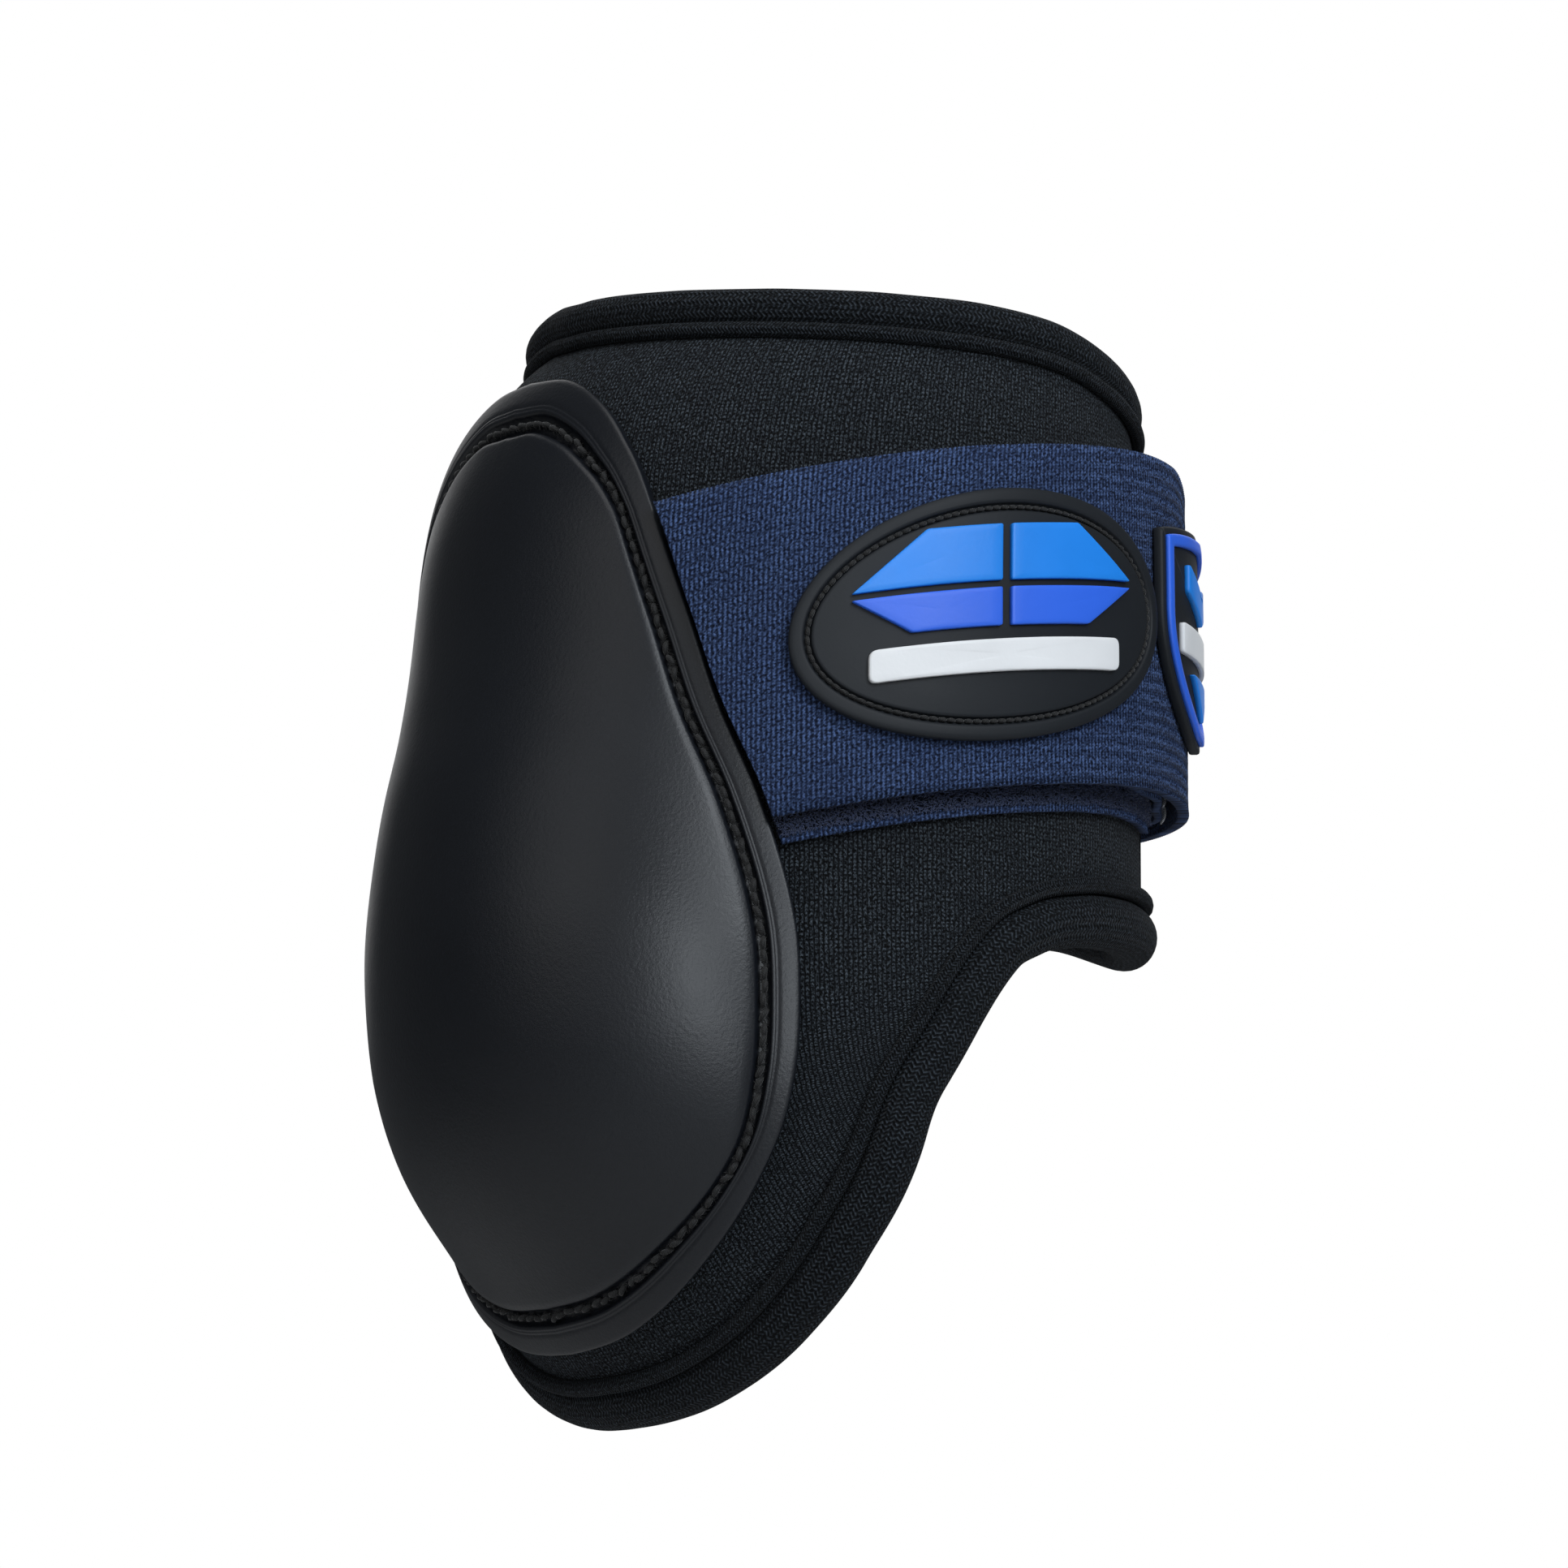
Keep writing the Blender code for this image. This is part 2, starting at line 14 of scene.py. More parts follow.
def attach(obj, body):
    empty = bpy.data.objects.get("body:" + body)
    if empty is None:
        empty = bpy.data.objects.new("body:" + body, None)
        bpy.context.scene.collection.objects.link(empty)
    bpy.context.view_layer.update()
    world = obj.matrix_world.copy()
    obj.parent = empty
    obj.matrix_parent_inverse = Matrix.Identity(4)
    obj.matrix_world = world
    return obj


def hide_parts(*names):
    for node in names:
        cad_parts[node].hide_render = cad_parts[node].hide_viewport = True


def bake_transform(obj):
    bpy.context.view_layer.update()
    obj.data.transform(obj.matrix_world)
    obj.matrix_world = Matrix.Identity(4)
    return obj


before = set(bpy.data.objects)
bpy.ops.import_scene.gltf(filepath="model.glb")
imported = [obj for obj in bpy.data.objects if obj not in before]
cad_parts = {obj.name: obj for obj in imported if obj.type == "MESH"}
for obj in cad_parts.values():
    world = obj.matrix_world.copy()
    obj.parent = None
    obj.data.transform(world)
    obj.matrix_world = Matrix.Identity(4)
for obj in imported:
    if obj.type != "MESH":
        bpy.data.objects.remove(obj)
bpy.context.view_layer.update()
MM = 0.001

# The skin.
COLLAR_RADIUS = 41.5 * MM
BODY_FLARE = 8.0 * MM
FLARE_LENGTH = 13.5 * MM
FRONT_LINE = 40.9 * MM
BOWL_DEPTH = 97.0 * MM
BOWL_EASE = 10.0 * MM
LEAN_START = 90.0 * MM
LEAN_EASE = 8.0 * MM
LEAN_PER_METRE = math.radians(1050.0)
HEM_FLARE_START = 124.0 * MM
HEM_FLARE_EASE = 8.0 * MM
HEM_FLARE = 0.22

# Layers.
NEOPRENE = 4.6 * MM
LINING = 0.7 * MM
ROLL_INSET = 1.45 * MM
COLLAR_ROLL_RADIUS = 2.9 * MM
COLLAR_ROLL_RISE = 3.5 * MM
COLLAR_PIPING_RADIUS = 1.1 * MM
HEM_ROLL_RADIUS = 3.8 * MM
HEM_ROLL_DROP = 4.2 * MM
HEM_PIPING_RADIUS = 1.15 * MM

# Strike guard.
FLANGE_HEIGHT = 2.5 * MM
FLANGE_WIDTH = 3.7 * MM
GROOVE_WIDTH = 1.9 * MM
GROOVE_DEPTH = 1.2 * MM
LIP_HEIGHT = 2.6 * MM

# Strap and badges.
STRAP_WIDTH = 47.0 * MM
STRAP_THICK = 1.5 * MM
STRAP_HEIGHT = 2.5 * MM
STRAP_STAND_OFF = 2.4 * MM
STRAP_MIDDLE = ((35, 50, 65, 90, 120, 150, 180), (50.4, 47.5, 44.9, 41.4, 38.9, 39.4, 39.0))
RIB_PITCH = 0.68 * MM
OVAL_ANGLE, OVAL_HALF_WIDTH, OVAL_HALF_HEIGHT = 87.0, 31.0 * MM, 17.3 * MM
SHIELD_ANGLE, SHIELD_HALF_WIDTH, SHIELD_HALF_HEIGHT = 138.5, 18.5 * MM, 15.5 * MM
BADGE_THICK = 1.6 * MM

# Angles round the leg.
SLIT = 151.8
BACK_JOIN = -25.0
STRAP_ROOT = 203.0
ANCHOR_END = 232.0

COLLAR_LINE = ((0, 40, 70, 90, 105, 120, 140, 160, 180),
               (-1.4, 0.6, 1.6, 2.2, 3.2, 5.4, 8.4, 10.2, 10.8))
FAR_COLLAR_RISE = 1.7 * MM
HEM_LINE = ((0, 17, 34, 47, 62, 72, 80, 88, 97, 108, 122, 150, 180),
            (145.0, 145.2, 143.4, 139.2, 128.2, 110.6, 94.6, 84.6, 79.9, 77.7, 76.8, 76.8, 76.8))
FAR_HEM_RISE = 8.0 * MM
GUARD_HALF = ((0, 11, 20.5, 27, 32.4, 40, 45.3, 51.3, 56, 57.3, 55.8, 50.8, 41.5, 28.5, 14.5, 0),
              (6.3, 7.3, 11.4, 17, 24.5, 41, 54.5, 67, 81, 92, 105, 117.5, 127.5, 134, 137.5, 138.2))
GUARD_SPINE = (27.0 * MM, 97.0 * MM)
RIM_CROWN = ((4, 21, 31, 41.5, 52, 62, 72, 83, 93, 105, 117, 128, 138),
             (0.6, 0.9, 1.2, 1.7, 3.6, 6.1, 7.7, 8.6, 8.0, 6.2, 4.4, 3.2, 2.4))


# ---------------------------------------------------------------- the skin

def smooth(x, knots):
    """Cubic pieces through a few knots, with averaged slopes."""
    xs, ys = (np.asarray(k, float) for k in knots)
    slope = np.gradient(ys, xs)
    i = np.clip(np.searchsorted(xs, x) - 1, 0, len(xs) - 2)
    step = xs[i + 1] - xs[i]
    t = np.clip((x - xs[i]) / step, 0.0, 1.0)
    rise = ys[i + 1] - ys[i]
    return (ys[i] + rise * (3 - 2 * t) * t ** 2
            + step * (slope[i] * t * (1 - t) ** 2 - slope[i + 1] * t ** 2 * (1 - t)))


def ease(x):
    """0 below 0, 1 above 1, and an S between them: 3t^2 - 2t^3."""
    t = np.clip(x, 0, 1)
    return t * t * (3 - 2 * t)


def from_back(angle):
    turned = np.radians(angle)
    return np.abs(np.degrees(np.arctan2(np.sin(turned), np.cos(turned))))


def skin(angle, depth, height=0.0):
    """Circles whose radius grows as 1 - exp(-depth), whose front point stays on one upright line, and
    which pivot forwards about a nearly fixed centre once they are below the bowl's middle."""
    angle = np.radians(angle)
    radius = COLLAR_RADIUS + BODY_FLARE * (1 - np.exp(-(depth + 1 * MM) / FLARE_LENGTH))
    centre_y = FRONT_LINE - radius
    below = depth - BOWL_DEPTH
    centre_z = -(depth + BOWL_DEPTH - np.sqrt(below ** 2 + BOWL_EASE ** 2)) / 2
    past = depth - LEAN_START
    lean = LEAN_PER_METRE * (np.sqrt(past ** 2 + LEAN_EASE ** 2) + past) / 2
    spread = depth - HEM_FLARE_START
    radius = radius + HEM_FLARE * (np.sqrt(spread ** 2 + HEM_FLARE_EASE ** 2) + spread) / 2 + height
    back = -radius * np.cos(angle)
    return np.stack([radius * np.sin(angle), centre_y + back * np.cos(lean),
                     centre_z + back * np.sin(lean)], -1)


def unit(v):
    return v / np.maximum(np.linalg.norm(v, axis=-1, keepdims=True), 1e-12)


def normal_at(angle, depth):
    """Cross product of the skin's two directions, which points away from the leg."""
    across = skin(angle + 0.2, depth) - skin(angle - 0.2, depth)
    below = skin(angle, depth + 0.2 * MM) - skin(angle, depth - 0.2 * MM)
    return unit(np.cross(below, across))


def layer(angle, depth, height):
    """The skin moved out along its true normal."""
    return skin(angle, depth) + np.asarray(height)[..., None] * normal_at(angle, depth)


def collar_depth(angle):
    """The collar's line, a little higher on the far side."""
    turned = np.mod(angle, 360.0)
    rise = ease((turned - 200.0) / 60.0) * ease((360.0 - turned) / 18.0)
    return smooth(from_back(angle), COLLAR_LINE) * MM - FAR_COLLAR_RISE * rise


def hem_depth(angle):
    """The hem's line, which rises towards the far side of the front."""
    turned = np.mod(angle, 360.0)
    rise = ease((turned - 146.0) / 46.0) * ease((300.0 - turned) / 70.0)
    return smooth(from_back(angle), HEM_LINE) * MM - FAR_HEM_RISE * rise


def line_frame(angle, depth_of):
    """Points of a line on the skin, with its direction, the normal and the way down the skin."""
    depth = depth_of(angle)
    ahead = unit(skin(angle + 0.2, depth_of(angle + 0.2)) - skin(angle - 0.2, depth_of(angle - 0.2)))
    normal = normal_at(angle, depth)
    return skin(angle, depth), ahead, normal, np.cross(ahead, normal)


def ripple(a, b, seed):
    """A soft random field: a few crossed sine waves with seeded turns and phases."""
    rng = np.random.default_rng(seed)
    total = np.zeros(np.broadcast(a, b).shape)
    for k in range(6):
        turn, phase = rng.uniform(0, np.pi), rng.uniform(0, 2 * np.pi)
        wave = (0.6 + 0.35 * k) * (np.cos(turn) * a + np.sin(turn) * b) + phase
        total = total + np.sin(wave) / (k + 1.5)
    return total / 2


# ---------------------------------------------------------------- meshes

def mesh_piece(name, verts, faces, uvs, material):
    """An object from points, faces, and one UV pair for each face corner."""
    mesh = bpy.data.meshes.new(name)
    mesh.from_pydata(np.asarray(verts, float).reshape(-1, 3), [], faces)
    layer_uv = mesh.uv_layers.new(name="UVMap")
    layer_uv.data.foreach_set("uv", np.asarray(uvs, np.float32).ravel())
    mesh.materials.append(material)
    mesh.shade_smooth()
    made = bpy.data.objects.new(name, mesh)
    bpy.context.scene.collection.objects.link(made)
    return made


def grid_faces(rows, cols, wrap_rows=False, wrap_cols=False):
    """Quads of a grid, with the row and column of each corner for its UV."""
    i, j = np.meshgrid(np.arange(rows if wrap_rows else rows - 1),
                       np.arange(cols if wrap_cols else cols - 1), indexing="ij")
    i, j = i.ravel(), j.ravel()
    ci = np.stack([i, i + 1, i + 1, i], -1)
    cj = np.stack([j, j, j + 1, j + 1], -1)
    return (ci % rows) * cols + cj % cols, ci, cj


def slab_piece(name, front, back, uv, material):
    """A layer with an outer and an inner face, both grids of the same size, closed round its edge. Its
    UVs are in millimetres."""
    rows, cols = front.shape[:2]
    faces, ci, cj = grid_faces(rows, cols)
    i, j = np.arange(rows), np.arange(cols)
    sides = ((i, 0 * i), (0 * j[1:] + rows - 1, j[1:]), (i[-2::-1], 0 * i[1:] + cols - 1),
             (0 * j[-2:0:-1], j[-2:0:-1]))
    rim = np.concatenate([np.stack(side, -1) for side in sides])
    after = np.roll(rim, -1, 0)
    flat, flat_after = rim[:, 0] * cols + rim[:, 1], after[:, 0] * cols + after[:, 1]
    block = rows * cols
    wall = np.stack([flat, flat + block, flat_after + block, flat_after], -1)
    everything = np.concatenate([faces, faces[:, ::-1] + block, wall])
    pair = uv[rim[:, 0], rim[:, 1]], uv[after[:, 0], after[:, 1]]
    uvs = np.concatenate([uv[ci, cj], uv[ci[:, ::-1], cj[:, ::-1]],
                          np.stack([pair[0], pair[0], pair[1], pair[1]], 1)])
    verts = np.concatenate([front.reshape(-1, 3), back.reshape(-1, 3)])
    made = mesh_piece(name, verts, everything.tolist(), uvs, material)
    return face_out(made, verts.mean(0))


def tube_arrays(centre, side, up, radius, sides, closed=False):
    """Rings of points round K paths: centre + radius (cos t side + sin t up), joined by quads; tube_piece
    caps open ones with fans.
    """
    count, steps = centre.shape[:2]
    turn = np.linspace(0, 2 * np.pi, sides, endpoint=False)
    ring = (np.cos(turn)[:, None] * side[:, :, None] + np.sin(turn)[:, None] * up[:, :, None])
    points = centre[:, :, None] + radius[..., None, None] * ring
    quads, ci, cj = grid_faces(steps, sides, wrap_rows=closed, wrap_cols=True)
    block = steps * sides
    offsets = np.arange(count)[:, None, None] * block
    faces = (quads[None] + offsets).reshape(-1, 4)
    return points.reshape(count, -1, 3), faces, ci, cj


def tube_piece(name, centre, side, up, radius, sides, material, closed=False, along=None):
    """Round cords along K paths. U runs along each path and V round it, both in millimetres."""
    centre, side, up = (a if a.ndim == 3 else a[None] for a in (centre, side, up))
    count, steps = centre.shape[:2]
    radius = np.broadcast_to(radius, (count, steps))
    points, faces, ci, cj = tube_arrays(centre, side, up, radius, sides, closed)
    if along is None:
        gaps = np.linalg.norm(np.diff(centre[0], axis=0), axis=-1)
        along = np.concatenate([[0], np.cumsum(gaps)])
        if closed:
            along = np.append(along, along[-1] + np.linalg.norm(centre[0, 0] - centre[0, -1]))
    girth = 2 * np.pi * radius.mean() / MM
    uv = np.stack([along[ci] / MM, cj / sides * girth], -1)
    uvs = np.broadcast_to(uv[None], (count, *uv.shape)).reshape(-1, 2)
    faces = faces.tolist()
    verts = points.reshape(-1, 3)
    if not closed:
        hubs = np.stack([centre[:, 0], centre[:, -1]], 1).reshape(-1, 3)
        base = len(verts)
        verts = np.concatenate([verts, hubs])
        ring = np.arange(sides)
        nexts = (ring + 1) % sides
        start = np.arange(count)[:, None] * steps * sides
        hub = base + 2 * np.arange(count)[:, None] + 0 * ring
        first = np.stack([start + ring, start + nexts, hub], -1).reshape(-1, 3)
        tail = start + (steps - 1) * sides
        last = np.stack([tail + nexts, tail + ring, hub + 1], -1).reshape(-1, 3)
        faces += first.tolist() + last.tolist()
        extra = np.zeros(((len(first) + len(last)) * 3, 2))
        uvs = np.concatenate([uvs, extra])
    return mesh_piece(name, verts, faces, uvs, material)


def face_out(made, reference):
    """Turns a closed piece the right way out, by the sign of its volume about a point inside it."""
    mesh = made.data
    co = np.empty(len(mesh.vertices) * 3)
    mesh.vertices.foreach_get("co", co)
    co = co.reshape(-1, 3) - np.asarray(reference)
    mesh.calc_loop_triangles()
    tri = np.empty(len(mesh.loop_triangles) * 3, int)
    mesh.loop_triangles.foreach_get("vertices", tri)
    a, b, c = (co[tri.reshape(-1, 3)[:, k]] for k in range(3))
    if (a * np.cross(b, c)).sum() < 0:
        mesh.flip_normals()
    return made


def belong(made, body, slot, *nodes):
    """The piece rides on a body and stands for CAD nodes. The slot argument is not used."""
    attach(made, body)
    if nodes:
        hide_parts(*nodes)
    return made


# ---------------------------------------------------------------- finishes

class Finish:
    """A Principled material with short calls for its nodes."""

    def __init__(self, name, roughness=0.6, specular=0.5, sheen=0.0, sheen_roughness=0.5):
        self.material = bpy.data.materials.new(name)
        self.material.use_nodes = True
        self.tree = self.material.node_tree
        self.shader = self.tree.nodes["Principled BSDF"]
        self.shader.inputs["Roughness"].default_value = roughness
        self.shader.inputs["Specular IOR Level"].default_value = specular
        self.shader.inputs["Sheen Weight"].default_value = sheen
        self.shader.inputs["Sheen Roughness"].default_value = sheen_roughness

    def node(self, kind, **fields):
        made = self.tree.nodes.new(kind)
        for key, value in fields.items():
            setattr(made, key, value)
        return made

    def plug(self, value, socket):
        if isinstance(value, bpy.types.NodeSocket):
            self.tree.links.new(value, socket)
        else:
            socket.default_value = value

    def math(self, op, *values):
        made = self.node("ShaderNodeMath", operation=op)
        for value, socket in zip(values, made.inputs):
            self.plug(value, socket)
        return made.outputs[0]

    def uv(self):
        made = self.node("ShaderNodeUVMap", uv_map="UVMap")
        split = self.node("ShaderNodeSeparateXYZ")
        self.tree.links.new(made.outputs[0], split.inputs[0])
        return made.outputs[0], split.outputs[0], split.outputs[1]

    def place(self):
        return self.node("ShaderNodeTexCoord").outputs["Object"]

    def noise(self, vector, scale, detail=3.0, roughness=0.5):
        made = self.node("ShaderNodeTexNoise")
        self.plug(vector, made.inputs["Vector"])
        made.inputs["Scale"].default_value = scale
        made.inputs["Detail"].default_value = detail
        made.inputs["Roughness"].default_value = roughness
        return made.outputs["Fac"]

    def ramp(self, value, low, high, start=0.0, stop=1.0):
        made = self.node("ShaderNodeMapRange")
        for key, given in (("Value", value), ("From Min", low), ("From Max", high),
                           ("To Min", start), ("To Max", stop)):
            self.plug(given, made.inputs[key])
        return made.outputs[0]

    def blend_colour(self, factor, first, second):
        """Mixes two colours, each a red, green and blue or the output of another node."""
        made = self.node("ShaderNodeMix", data_type="RGBA")
        self.plug(factor, made.inputs["Factor"])
        for value, socket in ((first, made.inputs[6]), (second, made.inputs[7])):
            self.plug((*value, 1) if isinstance(value, tuple) else value, socket)
        return made.outputs[2]

    def colour(self, value):
        self.plug(value, self.shader.inputs["Base Color"])

    def roughness(self, value):
        self.plug(value, self.shader.inputs["Roughness"])

    def bump(self, height, distance, strength=1.0):
        made = self.node("ShaderNodeBump")
        made.inputs["Strength"].default_value = strength
        made.inputs["Distance"].default_value = distance
        self.plug(height, made.inputs["Height"])
        self.plug(made.outputs[0], self.shader.inputs["Normal"])

    def wave(self, value, pitch):
        """0 to 1 and back once every pitch."""
        turned = self.math("MULTIPLY", value, 2 * math.pi / pitch)
        return self.math("MULTIPLY_ADD", self.math("COSINE", turned), 0.5, 0.5)

    def zigzag(self, value, pitch):
        """Straight up and straight down, 0 to 1, once every pitch."""
        return self.math("PINGPONG", self.math("MULTIPLY", value, 2 / pitch), 1.0)


WALE_PITCH, COURSE_PITCH = 0.66, 0.56      # of the knit, in millimetres
SWING_PITCH, CROSS_PITCH = 1.5, 0.75       # of the bindings' mesh
STRAP_THREAD_PITCH = 0.42
HOLE_PITCH = 5.0                           # of the lining's breathing holes


def knit_finish():
    """Jersey knit: upright wales, each a stack of V stitches. Its colour is darkened with the knit's height:
    a painted shade line between wales and painted highlight on the loops.
    """
    f = Finish("knit face", roughness=0.85, specular=0.12, sheen=0.03, sheen_roughness=0.4)
    vector, u, v = f.uv()
    wobble = f.noise(vector, 0.5, 2.0)
    wale = f.zigzag(f.math("MULTIPLY_ADD", wobble, 0.5, u), WALE_PITCH)
    leaning = f.math("MULTIPLY_ADD", wale, 0.32, v)
    loops = f.wave(leaning, COURSE_PITCH)
    ridge = f.ramp(wale, 0.05, 0.55)
    height = f.math("MULTIPLY", ridge, f.math("MULTIPLY_ADD", loops, 0.65, 0.35))
    mottle = f.noise(vector, 0.35, 4.0)
    fleck = f.noise(vector, 2.6, 2.0)
    # Painted shade and highlight: the colour follows the knit's height, dark in the grooves between wales
    # and down each stitch, pale on the loops, with random flecks.
    light = f.math("MULTIPLY", height, f.ramp(fleck, 0.42, 0.7, 0.0, 1.8))
    tone = f.blend_colour(light, (0.0006, 0.0009, 0.0014), (0.078, 0.096, 0.116))
    f.colour(f.blend_colour(f.ramp(mottle, 0.35, 0.7, 0.0, 0.35), tone, (0.0025, 0.0035, 0.0065)))
    f.bump(height, 0.22 * MM, 1.0)
    return f.material


def binding_finish(name, pitch, tone):
    """Zigzag mesh: fine ridges that swing from side to side as they run round the roll."""
    f = Finish(name, roughness=0.85, specular=0.12, sheen=0.03, sheen_roughness=0.35)
    vector, u, v = f.uv()
    swing = f.zigzag(v, SWING_PITCH)
    ridges = f.wave(f.math("MULTIPLY_ADD", swing, 0.55, u), pitch)
    cross = f.wave(v, CROSS_PITCH)
    height = f.math("MULTIPLY_ADD", cross, 0.3, f.math("MULTIPLY", ridges, 0.8))
    fleck = f.noise(vector, 2.4, 2.0)
    # Painted shade and highlight: the colour follows the mesh's height, dark in the grooves and pale on the
    # ridges, with random flecks.
    light = f.math("MULTIPLY", f.math("POWER", height, 1.5), f.ramp(fleck, 0.38, 0.72, 0.0, 1.5))
    f.colour(f.blend_colour(light, (0.0006, 0.0009, 0.0014), tone))
    f.bump(height, 0.25 * MM, 1.0)
    return f.material


def guard_finish():
    """Moulded rubbery plastic: satin, with a fine leathery grain and faint rubbed patches."""
    f = Finish("moulded guard", roughness=0.40, specular=0.45)
    where = f.place()
    grain = f.noise(where, 1900.0, 3.0, 0.65)
    broad = f.noise(where, 28.0, 4.0, 0.55)
    f.colour(f.blend_colour(f.ramp(broad, 0.3, 0.7), (0.0044, 0.0058, 0.0092), (0.0058, 0.0077, 0.0118)))
    f.roughness(f.ramp(broad, 0.3, 0.7, 0.37, 0.45))
    scuff = f.noise(where, 160.0, 5.0, 0.6)
    f.bump(f.math("MULTIPLY_ADD", scuff, 0.25, grain), 0.06 * MM, 0.8)
    return f.material


def rubber_finish(name, tone, roughness=0.5, specular=0.45):
    """Soft moulded rubber with a very fine grain."""
    f = Finish(name, roughness=roughness, specular=specular)
    where = f.place()
    grain = f.noise(where, 1800.0, 2.0)
    drift = f.noise(where, 60.0, 3.0)
    paler = tuple(min(1.0, c * 1.10 + 0.001) for c in tone)
    f.colour(f.blend_colour(f.ramp(drift, 0.3, 0.7), tone, paler))
    f.roughness(f.ramp(drift, 0.3, 0.7, roughness - 0.04, roughness + 0.06))
    f.bump(grain, 0.03 * MM, 0.5)
    return f.material


def strap_finish():
    """Ribbed elastic: navy ribs across the strap, each bound by tiny slanted threads."""
    f = Finish("ribbed elastic", roughness=0.8, specular=0.10, sheen=0.05, sheen_roughness=0.35)
    vector, u, v = f.uv()
    rib = f.wave(u, RIB_PITCH / MM)
    half = f.math("FLOOR", f.math("MULTIPLY", u, MM / RIB_PITCH))
    shifted = f.math("MULTIPLY_ADD", half, 0.21, v)
    slanted = f.math("MULTIPLY_ADD", u, 0.35, shifted)
    threads = f.wave(slanted, STRAP_THREAD_PITCH)
    height = f.math("MULTIPLY", f.math("MULTIPLY_ADD", rib, 0.85, 0.15),
                    f.math("MULTIPLY_ADD", threads, 0.5, 0.5))
    fleck = f.noise(vector, 2.4, 2.0)
    patch = f.noise(vector, 0.12, 3.0)
    # Painted shade and highlight: the colour follows the rib height, dark between ribs and threads and pale
    # on their tops, with random flecks; the slow patches below are random tone.
    light = f.math("MULTIPLY", height, f.ramp(fleck, 0.38, 0.7, 0.08, 1.9))
    tone = f.blend_colour(light, (0.0018, 0.0034, 0.012), (0.092, 0.155, 0.345))
    f.colour(f.blend_colour(f.ramp(patch, 0.35, 0.65, 0.0, 0.25), tone, (0.006, 0.012, 0.040)))
    f.bump(height, 0.15 * MM, 0.8)
    return f.material


def loop_finish():
    """Brushed loop pile: clumps of tiny curls."""
    f = Finish("loop pile", roughness=0.9, specular=0.1, sheen=0.1, sheen_roughness=0.5)
    where = f.place()
    curl = f.noise(where, 2300.0, 4.0, 0.7)
    clump = f.noise(where, 500.0, 3.0)
    # Painted shade and highlight: the curls that raise the bump also set the colour, darker where the pile
    # lies low and paler on the high curls.
    f.colour(f.blend_colour(f.ramp(curl, 0.35, 0.7), (0.0012, 0.0022, 0.008), (0.022, 0.036, 0.090)))
    f.bump(f.math("MULTIPLY_ADD", clump, 0.6, curl), 0.5 * MM, 1.0)
    return f.material


def lining_finish():
    """Smooth lining with rows of small breathing holes."""
    f = Finish("smooth lining", roughness=0.75, specular=0.3)
    vector, u, v = f.uv()
    row = f.math("FLOOR", f.math("MULTIPLY", v, 1 / HOLE_PITCH))
    across = f.math("MULTIPLY_ADD", row, HOLE_PITCH / 2, u)
    du = f.math("SUBTRACT", f.math("FRACT", f.math("MULTIPLY", across, 1 / HOLE_PITCH)), 0.5)
    dv = f.math("SUBTRACT", f.math("FRACT", f.math("MULTIPLY", v, 1 / HOLE_PITCH)), 0.5)
    away = f.math("SQRT", f.math("ADD", f.math("MULTIPLY", du, du), f.math("MULTIPLY", dv, dv)))
    solid = f.ramp(away, 0.09, 0.12)
    weave = f.noise(vector, 4.0, 3.0)
    tone = f.blend_colour(f.ramp(weave, 0.3, 0.7), (0.010, 0.011, 0.013), (0.022, 0.024, 0.028))
    f.colour(f.blend_colour(solid, (0.001, 0.001, 0.001), tone))
    f.bump(f.math("MULTIPLY_ADD", weave, 0.15, solid), 0.3 * MM, 0.8)
    return f.material


def thread_finish(name, tone):
    """Twisted thread: slanted ply lines."""
    f = Finish(name, roughness=0.65, specular=0.4, sheen=0.2)
    vector, u, v = f.uv()
    twist = f.wave(f.math("ADD", u, v), 0.30)
    # Painted shade: the colour follows the twist that drives the bump, darker in the grooves between plies.
    darker = tuple(c * 0.3 for c in tone)
    f.colour(f.blend_colour(twist, darker, tone))
    f.bump(twist, 0.05 * MM, 0.8)
    return f.material


KNIT = knit_finish()
COLLAR_MESH = binding_finish("collar mesh", 0.66, (0.046, 0.057, 0.071))
PIPING_MESH = binding_finish("piping mesh", 0.50, (0.046, 0.057, 0.071))
GUARD = guard_finish()
BADGE = rubber_finish("badge rubber", (0.0118, 0.0142, 0.0178), 0.55, 0.22)
AZURE = rubber_finish("azure relief", (0.008, 0.25, 0.88), 0.46)
ROYAL = rubber_finish("royal relief", (0.026, 0.145, 0.84), 0.46)
WHITE = rubber_finish("white relief", (0.86, 0.87, 0.88), 0.45)
STRAP = strap_finish()
LOOP = loop_finish()
LINING_CLOTH = lining_finish()
BLACK_THREAD = thread_finish("black thread", (0.0020, 0.0023, 0.0030))
NAVY_THREAD = thread_finish("navy thread", (0.045, 0.075, 0.19))
WHITE_THREAD = thread_finish("white thread", (0.75, 0.77, 0.80))


# ---------------------------------------------------------------- sleeve and bindings

ALONG_MM = 0.86                # millimetres of knit for each degree round the leg


def wrapped(name, start, end, across, down, height, top, bottom, material, thick, tuck=0.0):
    """A layer between two angles and two lines. It dips by tuck where the bindings are sewn to it."""
    angle, v = np.meshgrid(np.linspace(start, end, across), np.linspace(0, 1, down), indexing="ij")
    v = v - 0.06 * np.sin(2 * np.pi * v)
    high, low = top(angle), bottom(angle)
    depth = high + (low - high) * v
    soft = 0.16 * MM * ripple(angle / 9.0, depth / (7 * MM), 5)
    dip = tuck * (np.exp(-((depth - high) / (2.2 * MM)) ** 2) + np.exp(-((low - depth) / (3 * MM)) ** 2))
    calm = ease((depth - high) / (8 * MM)) * ease((low - depth) / (8 * MM))
    points = layer(angle, depth, height - dip + soft * calm)
    uv = np.stack([angle * ALONG_MM, depth / MM], -1)
    return slab_piece(name, points, layer(angle, depth, np.full_like(depth, height - thick)), uv, material)


